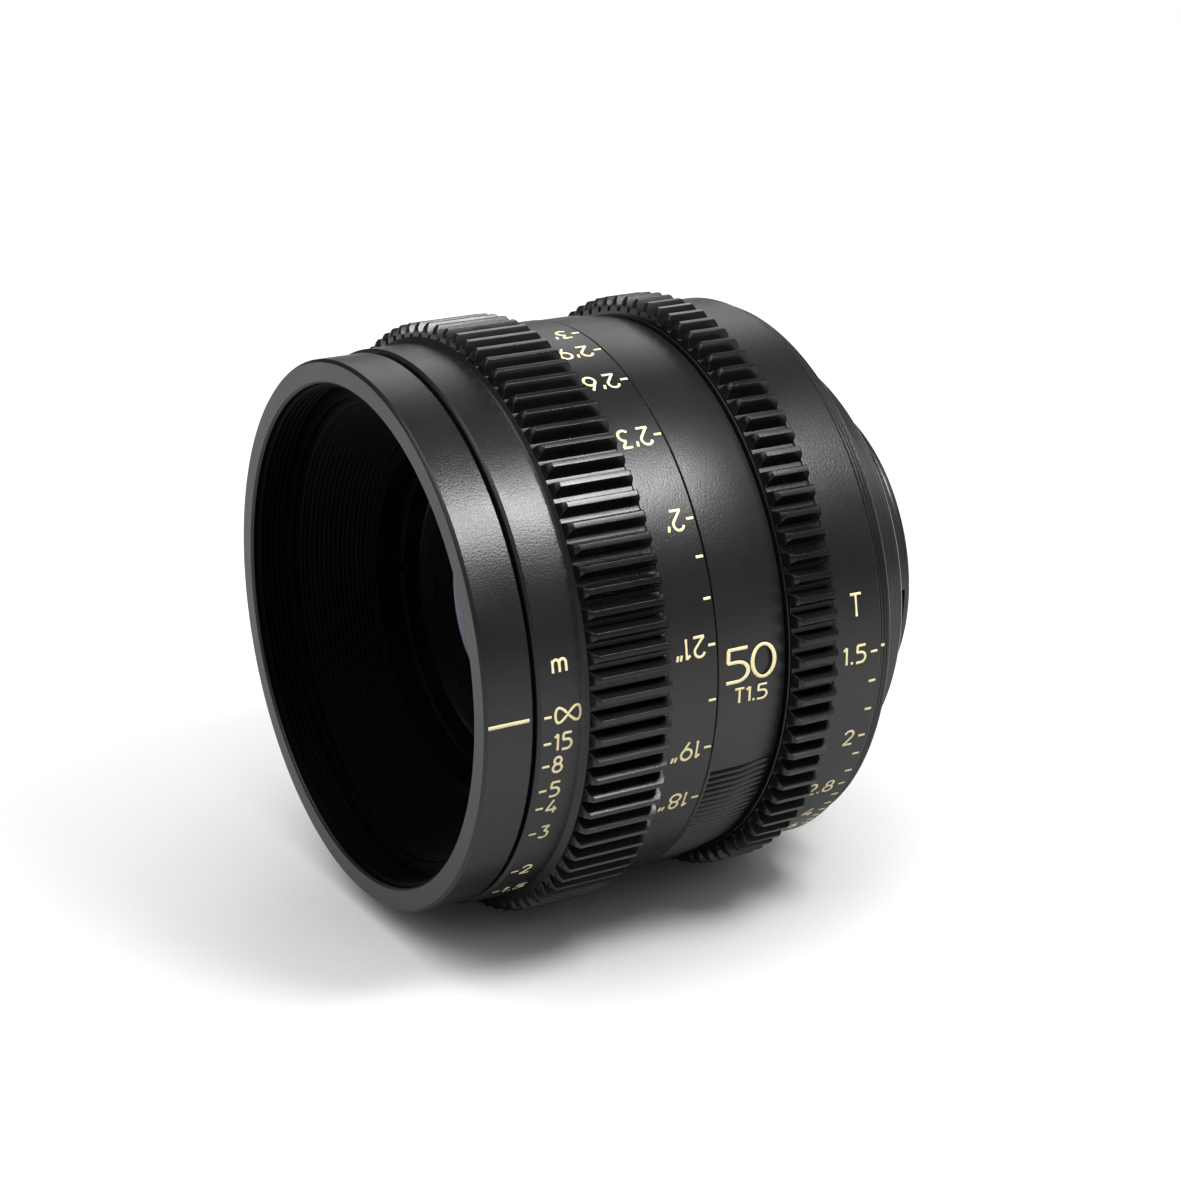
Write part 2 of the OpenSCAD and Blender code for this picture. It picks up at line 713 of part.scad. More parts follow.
// Mount
mount_screw_r = 0.75;
mount_screw_head_r = 1.5;
mount_screw_len = flange_t + shim_t + rear_flange_t - 0.5;
module at_mount_screws() {
    for (k = [0:mount_screw_count - 1])
        rotate([0, 0, 54 + k * 360 / mount_screw_count]) translate([mount_screw_pcr, 0, mount_screw_len])
            mirror([0, 0, 1]) children();
}
module mount_screw_holes() {
    at_mount_screws() screw_hole(mount_screw_r, mount_screw_head_r, mount_screw_len);
}
module mount_screws() {
    color(steel) lens() at_mount_screws() screw(mount_screw_r, mount_screw_head_r, mount_screw_len);
}

module mount_flange() {
    edge = 0.25;
    color(dark) lens() difference() {
        union() {
            lathe([
                [bayonet_bore_r, flange_t], [bayonet_bore_r, -bayonet_len], [rim_r - edge, -bayonet_len],
                [rim_r, -bayonet_len + edge], [rim_r, -bayonet_len + rim_len],
                [bayonet_r, -bayonet_len + rim_len], [bayonet_r, relief_depth],
                [relief_r, relief_depth], [relief_r, 0],
                [flange_r - edge, 0], [flange_r, edge], [flange_r, flange_t]
            ]);
            for (k = [0:3])
                intersection() {
                    ring(lug_r, bayonet_r - 0.5, -lug_from - lug_t, -lug_from);
                    wedge(lug_r, lug_at + 90 * k, lug_at + 90 * k + lug_span, -bayonet_len, 0);
                }
            intersection() {
                ring(lug_r, bayonet_r - 0.5, -lug_from - lug_t, -0.9);
                wedge(lug_r, lug_at + lug_span / 2, lug_at + lug_span / 2 + 4, -bayonet_len, 0);
            }
        }
        mount_screw_holes();
        rotate([0, 0, 168]) translate([mount_screw_pcr, 0, -eps]) cylinder(h = 1.6, r = 1.6);
    }
}

module mount_shim() {
    color(brass) lens() difference() {
        ring(flange_r - 0.3, rear_flange_hole_r, flange_t, taper_z);
        mount_screw_holes();
    }
}

// Focus ring and cam sleeve
module focus_ring() {
    edge = 0.2;
    core_r = gear_root_r - 0.3;
    gear_z = focus_z + foot_band_len;
    gear_top_z = gear_z + focus_gear_len;
    color(black) lens() difference() {
        union() {
            lathe([
                [focus_bore_r - 1, focus_z], [foot_band_r - edge, focus_z], [foot_band_r, focus_z + edge],
                [foot_band_r, gear_z], [core_r, gear_z + tooth_taper], [core_r, gear_top_z - tooth_taper],
                [metre_band_r + 0.4, gear_top_z], [metre_band_r, gear_top_z + 0.4],
                [metre_band_r, groove_z - edge], [metre_band_r - edge, groove_z], [focus_bore_r - 1, groove_z]
            ]);
            gear(focus_tooth_at, gear_z, focus_gear_len);
        }
        translate([0, 0, focus_z - 1]) cylinder(h = focus_len + 2, r = focus_bore_r);
        translate([0, 0, spigot_z - ring_gap]) cylinder(h = 5, r = groove_r + ring_gap);
        at_focus_ring_screws() cylinder(h = focus_ring_screw_len, r = focus_ring_screw_r + fit);
    }
}

module cam_sleeve() {
    color(brass) lens() difference() {
        ring(sleeve_r, sleeve_bore_r, sleeve_z, sleeve_top_z);
        for (k = [0:roller_count - 1])
            cam_slot(roller_at + k * 360 / roller_count);
        at_focus_ring_screws() cylinder(h = focus_ring_screw_len, r = focus_ring_screw_r + fit);
    }
}

// Helical slot: as the sleeve turns forwards the roller climbs it
module cam_slot(angle) {
    half = roller_r + slot_play + 0.04;
    steps = 60;
    over = end_gap / focus_travel;
    path = [for (i = [0:steps]) -over + (1 + 2 * over) * i / steps];
    r0 = sleeve_bore_r - 1;
    r1 = sleeve_r + 1;
    function corner(t, r, up) = let (a = angle - focus_throw * t)
        [r * cos(a), r * sin(a), roller_z + focus_travel * t + up];
    points = [
        for (t = path)
            each [corner(t, r0, -half), corner(t, r1, -half), corner(t, r1, half), corner(t, r0, half)]
    ];
    sides = [
        for (i = [0:steps - 1], j = [0:3])
            let (a = 4 * i + j, b = 4 * i + (j + 1) % 4)
                each [[a, b + 4, b], [a, a + 4, b + 4]]
    ];
    last = 4 * steps;
    ends = [[0, 1, 2], [0, 2, 3], [last, last + 2, last + 1], [last, last + 3, last + 2]];
    polyhedron(points, concat(sides, ends));
    for (t = [path[0], path[steps]])
        radial(angle - focus_throw * t, roller_z + focus_travel * t, r0) cylinder(h = r1 - r0, r = half);
}

focus_ring_screw_r = 0.8;
focus_ring_screw_bite = 1.2;
focus_ring_screw_len = sleeve_wall + focus_ring_screw_bite;
focus_ring_screw_z = sleeve_top_z - 3;
// Grub screws driven outwards from the sleeve's bore, heads below its surface
module at_focus_ring_screws() {
    for (a = [30, 150, 270])
        radial(a, focus_ring_screw_z, sleeve_bore_r + focus_ring_screw_len) mirror([0, 0, 1]) children();
}
module focus_ring_screws() {
    color(steel) lens() at_focus_ring_screws() grub(focus_ring_screw_r, focus_ring_screw_len - end_gap);
}

// Optical block
module front_cell() {
    bore_1 = glass_r[0] + fit;
    bore_2 = glass_r[1] + fit;
    bore_3 = glass_r[2] + fit;
    flange_z = housing_top_z + cell_flange_t;
    color(dark) lens() difference() {
        lathe([
            [bore_3, housing_top_z], [housing_r, housing_top_z], [housing_r, flange_z], [tube_r, flange_z],
            [tube_r, web_z], [skirt_r - skirt_wall, web_z], [skirt_r - skirt_wall, skirt_z],
            [skirt_r, skirt_z], [skirt_r, skirt_top_z], [nose_r, skirt_top_z], [nose_r, nose_z],
            [bore_1, nose_z], [bore_1, seat_1_z],
            [bore_2, seat_1_z], [bore_2, seat_2_z], [seat_3_r, seat_2_z],
            [seat_3_r, front_at(2, seat_3_r) + fit], [bore_3, front_at(2, glass_r[2]) + fit]
        ]);
        at_rollers() cylinder(h = 9, r = roller_screw_r + fit);
        housing_screw_holes();
    }
}

spanner_slot_w = 1.2;
spanner_slot_depth = 0.7;
module front_retaining_ring() {
    r_out = glass_r[0];
    r_in = r_out - retainer_wall;
    top = front_at(0, r_in) + retainer_len;
    edge = 0.3;
    color(black) lens() difference() {
        lathe([
            [r_in, front_at(0, r_in) + fit], [r_out, front_at(0, r_out) + fit],
            [r_out, top], [r_in + edge, top], [r_in, top - edge]
        ]);
        for (a = [0, 180])
            radial_box(a, r_in - 1, r_out + 1, spanner_slot_w, top - spanner_slot_depth, top + 1);
    }
}

module front_spacer() {
    r_out = glass_r[1];
    r_in = r_out - 1.2;
    color(dark) lens() lathe([
        [r_in, front_at(1, r_in) + fit], [r_out, front_at(1, r_out) + fit],
        [r_out, rear_at(0, r_out) - fit], [r_in, rear_at(0, r_in) - fit]
    ]);
}

module doublet_retaining_ring() {
    color(dark) lens()
        ring(glass_r[3], hollow_four_d / 2 + 0.4, housing_top_z + end_gap / 2, doublet_rear_z - fit);
}

module rear_cell() {
    bore_5 = glass_r[4] + fit;
    bore_7 = glass_r[6] + fit;
    lip = hollow_five_d / 2 + 0.3;
    color(dark) lens() difference() {
        lathe([
            [lip, base_z], [lip, seat_5_z], [bore_5, seat_5_z], [bore_5, rear_step_z], [bore_7, rear_step_z],
            [bore_7, rear_cell_z], [rear_cell_r, rear_cell_z], [rear_cell_r, base_z - rear_cell_flange_t],
            [rear_cell_flange_r, base_z - rear_cell_flange_t], [rear_cell_flange_r, base_z]
        ]);
        rear_cell_screw_holes();
    }
}

module rear_spacer() {
    r_in = glass_r[5] - 1;
    r_mid = glass_r[5];
    r_out = glass_r[6];
    color(dark) lens() lathe([
        [r_in, rear_at(5, r_in) - fit], [r_mid, rear_at(5, r_mid) - fit], [r_mid, rear_step_z - fit],
        [r_out, rear_step_z - fit], [r_out, front_at(6, r_out) + fit], [r_in, front_at(6, r_in) + fit]
    ]);
}

module rear_retaining_ring() {
    r_out = glass_r[6];
    r_in = r_out - retainer_wall;
    low = rear_at(6, r_in) - retainer_len;
    color(black) lens() difference() {
        lathe([
            [r_in, low], [r_out, low], [r_out, rear_at(6, r_out) - fit], [r_in, rear_at(6, r_in) - fit]
        ]);
        for (a = [90, 270])
            radial_box(a, r_in - 1, r_out + 1, spanner_slot_w, low - 1, low + spanner_slot_depth);
    }
}

module lens_1() { element(0, 0, glass_r[0]); }
module lens_2() { element(1, 0, glass_r[1]); }
module lens_3() { element(2, 0, glass_r[2]); }
module lens_4() { element(3, 0, hollow_four_d / 2); }
module lens_5() { element(4, hollow_five_d / 2, glass_r[4]); }
module lens_6() { element(5, 0, 0); }
module lens_7() { element(6, glass_r[6], 0); }

roller_screw_bite = 3.2;
module at_rollers() {
    for (k = [0:roller_count - 1])
        radial(roller_at + k * 360 / roller_count, roller_z, skirt_r - roller_screw_bite) children();
}

roller_in_r = guide_bore_r + 0.1;
roller_out_r = sleeve_r - 0.35;
module cam_rollers() {
    lift = roller_in_r - skirt_r + roller_screw_bite;
    color(brass) lens() at_rollers() translate([0, 0, lift]) difference() {
        cylinder(h = roller_out_r - roller_in_r, r = roller_r);
        translate([0, 0, -1]) cylinder(h = 9, r = roller_screw_r + fit);
    }
}

module roller_screws() {
    len = roller_out_r - skirt_r + roller_screw_bite + 0.05;
    color(steel) lens() at_rollers() difference() {
        union() {
            cylinder(h = len, r = roller_screw_r);
            translate([0, 0, len]) cylinder(h = 0.25, r = roller_screw_r + 0.35);
        }
        translate([-0.12, -2, len + 0.1]) cube([0.24, 4, 1]);
    }
}

// Iris housing, rotor and blades
module iris_housing() {
    notch = asin((pin_r + 3 * ring_gap) / housing_bore_r);
    notch_z = pin_z - pin_r - ring_gap;
    color(dark) lens() difference() {
        union() {
            ring(housing_r, housing_bore_r, base_z, housing_top_z);
            ring(housing_r - eps, iris_open_r + 0.2, base_z, base_z + base_t);
        }
        intersection() {
            ring(housing_r + 1, housing_bore_r - 1, notch_z, housing_top_z + 1);
            wedge(housing_r, arm_at - notch, arm_at + iris_throw + notch, notch_z - 1, housing_top_z + 2);
        }
        at_studs() translate([stud_pcr, 0, base_z - 1]) cylinder(h = base_t + 2, r = stud_r + slot_play);
        housing_screw_holes();
        rear_cell_screw_holes();
    }
}

module at_studs() {
    for (k = [0:blade_count - 1])
        rotate([0, 0, k * 360 / blade_count]) children();
}

housing_screw_r = 0.35;
housing_screw_head_r = 0.55;
housing_screw_bite = 1.6;
housing_screw_len = cell_flange_t + housing_screw_bite;
module at_housing_screws() {
    for (a = [0, 120, 330])
        rotate([0, 0, a])
            translate([housing_bore_r + housing_wall / 2, 0, housing_top_z - housing_screw_bite])
                children();
}
module housing_screw_holes() {
    at_housing_screws() screw_hole(housing_screw_r, housing_screw_head_r, housing_screw_len);
}
module housing_screws() {
    color(steel) lens() at_housing_screws() screw(housing_screw_r, housing_screw_head_r, housing_screw_len);
}

rear_cell_screw_r = 0.5;
rear_cell_screw_head_r = 0.9;
rear_cell_screw_bite = base_t - 0.3;
rear_cell_screw_pcr = (rear_cell_r + rear_cell_flange_r) / 2;
rear_cell_screw_len = rear_cell_flange_t + rear_cell_screw_bite;
module at_rear_cell_screws() {
    for (a = [18, 126, 270])
        rotate([0, 0, a]) translate([rear_cell_screw_pcr, 0, base_z + rear_cell_screw_bite])
            mirror([0, 0, 1]) children();
}
module rear_cell_screw_holes() {
    at_rear_cell_screws() screw_hole(rear_cell_screw_r, rear_cell_screw_head_r, rear_cell_screw_len);
}
module rear_cell_screws() {
    color(steel) lens() at_rear_cell_screws()
        screw(rear_cell_screw_r, rear_cell_screw_head_r, rear_cell_screw_len);
}

// Where a blade's drive stud is, in the base's frame, for a swing from fully open
function drive_stud(swing) = [stud_pcr, 0] + polar(blade_lever, -90 - blade_swing / 2 + swing);
// The same in the rotor's frame, for a turn of the rotor
function slot_point(turn) = let (p = drive_stud(turn * swing_ratio))
    [p[0] * cos(turn) + p[1] * sin(turn), p[1] * cos(turn) - p[0] * sin(turn)];

// One cam slot of the rotor: the drive stud's path with half a width on each side
module rotor_slot() {
    steps = 18;
    half = stud_r + slot_play;
    over = 1.5;
    turns = [for (i = [0:steps]) -over + (iris_throw + 2 * over) * i / steps];
    function along(t) = slot_point(t + 0.1) - slot_point(t - 0.1);
    function side(t, w) = let (d = along(t)) slot_point(t) + w * [-d[1], d[0]] / norm(d);
    polygon(concat([for (t = turns) side(t, half)], [for (i = [steps:-1:0]) side(turns[i], -half)]));
}

pin_bite = 1;
module iris_rotor() {
    color(steel) lens() difference() {
        ring(rotor_r, iris_open_r + 0.6, rotor_z, rotor_z + rotor_t);
        at_studs() translate([0, 0, rotor_z - 1]) linear_extrude(rotor_t + 2) rotor_slot();
        radial(arm_at, pin_z, rotor_r - pin_bite - fit) cylinder(h = pin_bite + 1, r = pin_r + fit);
    }
}

module rotor_pin() {
    reach_r = finger_r + arm_finger_t - end_gap;
    color(steel) lens() radial(arm_at, pin_z, rotor_r - pin_bite)
        cylinder(h = reach_r - rotor_r + pin_bite, r = pin_r);
}

module iris_blade(k) {
    z = blades_z + (k - 1) * blade_pitch + (blade_pitch - blade_t) / 2;
    blade_out_r = iris_open_r + blade_w;
    ear_r = 2 * stud_r;
    drive = drive_stud(0);
    tail = 3;
    tip_round = 1.5;
    color(black) lens() rotate([0, 0, (k - 1) * 360 / blade_count]) {
        difference() {
            intersection() {
                ring(blade_out_r, iris_open_r, z, z + blade_t);
                wedge(blade_out_r, -tail, blade_arc, z - 1, z + 1);
            }
            rotate([0, 0, blade_arc]) translate([blade_out_r, 0, z - 1]) cylinder(h = 2, r = tip_round);
        }
        blade_arm([blade_out_r - 1, 0], [stud_pcr, 0], ear_r, z);
        blade_arm([stud_pcr, 0], drive, ear_r, z);
        translate([stud_pcr, 0, base_z + 0.1]) cylinder(h = z + blade_t - base_z - 0.1, r = stud_r);
        translate([drive[0], drive[1], z]) cylinder(h = rotor_z + rotor_t - 0.1 - z, r = stud_r);
    }
}

// A thin round-ended strap between two points of a blade
module blade_arm(a, b, r, z) {
    d = b - a;
    translate([a[0], a[1], z]) rotate([0, 0, atan2(d[1], d[0])]) {
        translate([0, -r, 0]) cube([norm(d), 2 * r, blade_t]);
        translate([norm(d), 0, 0]) cylinder(h = blade_t, r = r);
    }
}

// Iris ring and its drive arm
module iris_ring() {
    edge = 0.2;
    core_r = gear_root_r - 0.3;
    top = iris_z + iris_len;
    gear_z = top - iris_gear_len - 0.1;
    color(black) lens() difference() {
        union() {
            lathe([
                [iris_bore_r - 1, iris_z], [t_band_r - t_band_edge, iris_z],
                [t_band_r, iris_z + t_band_edge], [t_band_r, gear_z], [core_r, gear_z + tooth_taper],
                [core_r, top - edge], [core_r - edge, top], [iris_bore_r - 1, top]
            ]);
            gear(iris_tooth_at, gear_z, iris_gear_len);
        }
        translate([0, 0, iris_z - 1]) cylinder(h = iris_len + 2, r = iris_bore_r);
        radial_box(
            arm_at, iris_bore_r - 2, arm_foot_r + fit, arm_foot_w + 2 * fit,
            arm_z - fit, arm_z + arm_root + fit
        );
        at_arm_screws() cylinder(h = arm_screw_len, r = arm_screw_r + fit);
    }
}

module iris_drive_arm() {
    foot_in_r = iris_bore_r + 0.1;
    slot = 2 * (pin_r + slot_play);
    color(steel) lens() difference() {
        union() {
            radial_box(arm_at, foot_in_r, arm_foot_r, arm_foot_w, arm_z, arm_z + arm_root);
            radial_box(arm_at, finger_r, foot_in_r + eps, arm_w, arm_z, arm_z + arm_root);
            radial_box(arm_at, finger_r, finger_r + arm_finger_t, arm_w, arm_z, finger_top_z);
        }
        radial_box(
            arm_at, finger_r - 1, finger_r + arm_finger_t + 1, slot,
            pin_z - pin_r - ring_gap, finger_top_z + 1
        );
        at_arm_screws() cylinder(h = arm_screw_len, r = arm_screw_r + fit);
    }
}

arm_screw_r = 0.6;
arm_screw_bite = 1.5;
arm_screw_len = arm_foot + arm_screw_bite;
// Grub screws driven outwards from the iris ring's bore through the arm's foot
module at_arm_screws() {
    for (side = [-1, 1])
        rotate([0, 0, arm_at])
            translate([iris_bore_r + arm_screw_len, side * (arm_w + arm_foot_w) / 4, arm_z + arm_root / 2])
                rotate([0, -90, 0]) children();
}
module iris_arm_screws() { color(steel) lens() at_arm_screws() grub(arm_screw_r, arm_screw_len - end_gap); }

front_ring();
front_baffle();
guide_barrel();
mid_barrel();
rear_barrel();
index_ring();
mount_flange();
mount_shim();
mount_screws();
front_ring_screws();
barrel_screws();
mid_barrel_screws();
index_ring_screws();
focus_ring();
cam_sleeve();
focus_ring_screws();
front_cell();
front_retaining_ring();
front_spacer();
doublet_retaining_ring();
rear_cell();
rear_spacer();
rear_retaining_ring();
lens_1();
lens_2();
lens_3();
lens_4();
lens_5();
lens_6();
lens_7();
iris_housing();
housing_screws();
rear_cell_screws();
cam_rollers();
roller_screws();
iris_ring();
iris_drive_arm();
iris_arm_screws();
iris_rotor();
rotor_pin();
iris_blade(1);  // iris_blade_1
iris_blade(2);  // iris_blade_2
iris_blade(3);  // iris_blade_3
iris_blade(4);  // iris_blade_4
iris_blade(5);  // iris_blade_5
iris_blade(6);  // iris_blade_6
iris_blade(7);  // iris_blade_7
iris_blade(8);  // iris_blade_8
iris_blade(9);  // iris_blade_9
iris_blade(10);  // iris_blade_10
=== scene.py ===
import bpy
import json
import math
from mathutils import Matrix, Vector


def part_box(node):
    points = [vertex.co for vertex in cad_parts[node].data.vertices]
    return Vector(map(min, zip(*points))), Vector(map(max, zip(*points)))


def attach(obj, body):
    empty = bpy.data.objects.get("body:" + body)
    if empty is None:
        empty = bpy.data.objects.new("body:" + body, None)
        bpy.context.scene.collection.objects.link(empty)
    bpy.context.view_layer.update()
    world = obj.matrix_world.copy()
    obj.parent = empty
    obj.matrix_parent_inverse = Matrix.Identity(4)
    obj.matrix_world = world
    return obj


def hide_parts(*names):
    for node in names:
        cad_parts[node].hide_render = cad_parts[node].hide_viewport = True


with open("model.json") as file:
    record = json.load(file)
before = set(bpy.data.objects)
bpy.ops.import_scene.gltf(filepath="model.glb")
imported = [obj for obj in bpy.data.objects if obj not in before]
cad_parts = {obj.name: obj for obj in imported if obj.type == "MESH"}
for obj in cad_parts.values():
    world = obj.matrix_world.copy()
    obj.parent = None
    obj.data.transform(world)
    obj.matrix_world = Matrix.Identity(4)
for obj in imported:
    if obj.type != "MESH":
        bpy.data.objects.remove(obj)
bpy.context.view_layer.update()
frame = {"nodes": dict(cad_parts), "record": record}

# Lengths are typed in millimetres. A profile point is (r, s): r from the optical axis,
# s backwards from the front face. Angles run round the axis from +X towards +Z.
mm = 0.001
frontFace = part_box("front_ring")[0].y
bevelAngle = math.radians(25)
smoothAngle = math.radians(40)


def place(s):
    return frontFace + s * mm


def onRing(r, s, angle):
    turn = math.radians(angle)
    return (r * mm * math.cos(turn), place(s), r * mm * math.sin(turn))


def clearSelection():
    if bpy.context.object and bpy.context.object.mode != "OBJECT":
        bpy.ops.object.mode_set(mode="OBJECT")
    bpy.ops.object.select_all(action="DESELECT")


def pick(*pieces):
    clearSelection()
    for piece in pieces:
        piece.select_set(True)
    bpy.context.view_layer.objects.active = pieces[0]


def joined(*pieces):
    pick(*pieces)
    bpy.ops.object.join()
    return pieces[0]


# One vertex, extruded from point to point. The row stays in edit mode.
def vertexRow(name, points):
    clearSelection()
    bpy.ops.mesh.primitive_plane_add(size=mm, location=points[0])
    row = bpy.context.object
    row.name = row.data.name = name
    bpy.ops.object.transform_apply(location=True, rotation=True, scale=True)
    bpy.ops.object.mode_set(mode="EDIT")
    bpy.ops.mesh.select_mode(type="VERT")
    bpy.ops.mesh.select_all(action="SELECT")
    bpy.ops.mesh.merge(type="CENTER")
    for last, point in zip(points, points[1:]):
        step = [b - a for a, b in zip(last, point)]
        bpy.ops.mesh.extrude_vertices_move(TRANSFORM_OT_translate={"value": step})
    return row


def cleaned():
    bpy.ops.mesh.select_all(action="SELECT")
    bpy.ops.mesh.remove_doubles(threshold=0.001 * mm)
    bpy.ops.mesh.normals_make_consistent(inside=False)
    bpy.ops.object.mode_set(mode="OBJECT")


# Lathe work: a profile spun round the optical axis, all the way or over a sector
def turned(name, profile, steps=240, start=0, sweep=360):
    row = vertexRow(name, [onRing(r, s, start) for r, s in profile])
    bpy.ops.mesh.select_all(action="SELECT")
    bpy.ops.mesh.spin(steps=steps, angle=math.radians(sweep), center=(0, 0, 0), axis=(0, 1, 0))
    cleaned()
    return row


# A block that follows the ring: its section between two radii and two distances, spun over an angle
def ringBlock(name, rIn, rOut, sFrom, sTo, start, sweep, steps=16):
    corners = ((rIn, sFrom), (rOut, sFrom), (rOut, sTo), (rIn, sTo))
    block = vertexRow(name, [onRing(r, s, start) for r, s in corners])
    bpy.ops.mesh.select_all(action="SELECT")
    bpy.ops.mesh.edge_face_add()
    bpy.ops.mesh.spin(steps=steps, angle=math.radians(sweep), center=(0, 0, 0), axis=(0, 1, 0))
    cleaned()
    return block


def cutAway(piece, *cutters):
    for cutter in cutters:
        pick(piece)
        bpy.ops.object.modifier_add(type="BOOLEAN")
        cut = piece.modifiers[-1]
        cut.operation = "DIFFERENCE"
        cut.solver = "EXACT"
        cut.object = cutter
        bpy.ops.object.modifier_apply(modifier=cut.name)
        bpy.data.objects.remove(cutter)
    return piece


# Breaks the edges and sets the shading, as the last step on a piece
def finished(piece, edge=0.0, segments=2):
    pick(piece)
    if edge:
        bpy.ops.object.modifier_add(type="BEVEL")
        bevel = piece.modifiers[-1]
        bevel.width = edge * mm
        bevel.segments = segments
        bevel.limit_method = "ANGLE"
        bevel.angle_limit = bevelAngle
        bpy.ops.object.modifier_apply(modifier=bevel.name)
    bpy.ops.object.shade_smooth_by_angle(angle=smoothAngle)
    bpy.ops.object.modifier_add(type="WEIGHTED_NORMAL")
    weighted = piece.modifiers[-1]
    weighted.keep_sharp = True
    bpy.ops.object.modifier_apply(modifier=weighted.name)
    return piece


def dressed(piece, finish, body, slot, *nodes):
    piece.data.materials.clear()
    piece.data.materials.append(finish)
    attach(piece, body)
    if nodes:
        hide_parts(*nodes)
    return piece


# Finishes start from one shader; its nodes and links go along with it
def newFinish(name):
    finish = bpy.data.materials.new(name)
    finish.use_nodes = True
    nodes = finish.node_tree.nodes
    links = finish.node_tree.links
    return finish, nodes, links, nodes["Principled BSDF"]


def noiseOn(nodes, links, vector, scale, detail=2.0):
    noise = nodes.new("ShaderNodeTexNoise")
    noise.inputs["Scale"].default_value = scale
    noise.inputs["Detail"].default_value = detail
    links.new(vector, noise.inputs["Vector"])
    return noise.outputs["Fac"]


def mapped(nodes, links, value, valueFrom, valueTo, low, high):
    mapNode = nodes.new("ShaderNodeMapRange")
    mapNode.inputs["From Min"].default_value = valueFrom
    mapNode.inputs["From Max"].default_value = valueTo
    mapNode.inputs["To Min"].default_value = low
    mapNode.inputs["To Max"].default_value = high
    links.new(value, mapNode.inputs["Value"])
    return mapNode.outputs["Result"]


# Most of a noise lies in its middle, which is spread over the whole range
def spread(nodes, links, noise, low, high):
    return mapped(nodes, links, noise, 0.3, 0.7, low, high)


def blendOf(nodes, links, value, colourA, colourB):
    mix = nodes.new("ShaderNodeMix")
    mix.data_type = "RGBA"
    mix.inputs["A"].default_value = (*colourA, 1)
    mix.inputs["B"].default_value = (*colourB, 1)
    links.new(value, mix.inputs["Factor"])
    return mix.outputs["Result"]


def bumpOn(nodes, links, shader, height, strength, distance):
    bump = nodes.new("ShaderNodeBump")
    bump.inputs["Strength"].default_value = strength
    bump.inputs["Distance"].default_value = distance
    links.new(height, bump.inputs["Height"])
    links.new(bump.outputs["Normal"], shader.inputs["Normal"])


# Distance from the optical axis, for marks that a lathe tool leaves on a face
def radiusOf(nodes, links, vector):
    flat = nodes.new("ShaderNodeVectorMath")
    flat.operation = "MULTIPLY"
    flat.inputs[1].default_value = (1, 0, 1)
    links.new(vector, flat.inputs[0])
    length = nodes.new("ShaderNodeVectorMath")
    length.operation = "LENGTH"
    links.new(flat.outputs["Vector"], length.inputs[0])
    return length.outputs["Value"]


# A blasted surface loses its sheen where it is seen edge-on
def sheenOf(nodes, links, specular, fadeFrom, fadeTo):
    leastShare = 0.2
    weight = nodes.new("ShaderNodeLayerWeight")
    weight.inputs["Blend"].default_value = 0.5
    return mapped(nodes, links, weight.outputs["Facing"], fadeFrom, fadeTo, specular, leastShare * specular)


# Bead-blasted and anodised aluminium: a fine grain and a slow drift in tone and gloss
def blastedFinish(name, look):
    finish, nodes, links, shader = newFinish(name)
    coords = nodes.new("ShaderNodeTexCoord").outputs["Object"]
    drift = noiseOn(nodes, links, coords, look["driftScale"], 3)
    grain = noiseOn(nodes, links, coords, look["grainScale"], 2)
    links.new(blendOf(nodes, links, drift, look["dark"], look["light"]), shader.inputs["Base Color"])
    links.new(spread(nodes, links, drift, *look["rough"]), shader.inputs["Roughness"])
    links.new(sheenOf(nodes, links, look["specular"], *look["fade"]), shader.inputs["Specular IOR Level"])
    shader.inputs["Metallic"].default_value = look["metallic"]
    bumpOn(nodes, links, shader, grain, look["bump"], look["bumpDepth"])
    return finish


# Turned metal: fine rings round the axis on the faces and along the walls
def turnedFinish(name, look):
    finish, nodes, links, shader = newFinish(name)
    coords = nodes.new("ShaderNodeTexCoord").outputs["Object"]
    split = nodes.new("ShaderNodeSeparateXYZ")
    links.new(coords, split.inputs[0])
    along = nodes.new("ShaderNodeMath")
    along.operation = "ADD"
    links.new(radiusOf(nodes, links, coords), along.inputs[0])
    links.new(split.outputs["Y"], along.inputs[1])
    rings = nodes.new("ShaderNodeTexNoise")
    rings.noise_dimensions = "1D"
    rings.inputs["Scale"].default_value = look["ringScale"]
    rings.inputs["Detail"].default_value = 3
    links.new(along.outputs["Value"], rings.inputs["W"])
    drift = noiseOn(nodes, links, coords, look["driftScale"], 2)
    links.new(blendOf(nodes, links, drift, look["dark"], look["light"]), shader.inputs["Base Color"])
    links.new(spread(nodes, links, rings.outputs["Fac"], *look["rough"]), shader.inputs["Roughness"])
    shader.inputs["Specular IOR Level"].default_value = look["specular"]
    shader.inputs["Metallic"].default_value = look["metallic"]
    bumpOn(nodes, links, shader, rings.outputs["Fac"], look["bump"], look["bumpDepth"])
    return finish


# Coated glass: clear, with a faint violet bloom
def glassFinish(name, look):
    finish, nodes, links, shader = newFinish(name)
    coords = nodes.new("ShaderNodeTexCoord").outputs["Object"]
    bloom = noiseOn(nodes, links, coords, look["bloomScale"], 1)
    links.new(blendOf(nodes, links, bloom, look["tintA"], look["tintB"]), shader.inputs["Base Color"])
    shader.inputs["Roughness"].default_value = look["rough"]
    shader.inputs["IOR"].default_value = look["ior"]
    shader.inputs["Specular IOR Level"].default_value = look["specular"]
    shader.inputs["Specular Tint"].default_value = (*look["coating"], 1)
    shader.inputs["Transmission Weight"].default_value = 1
    return finish


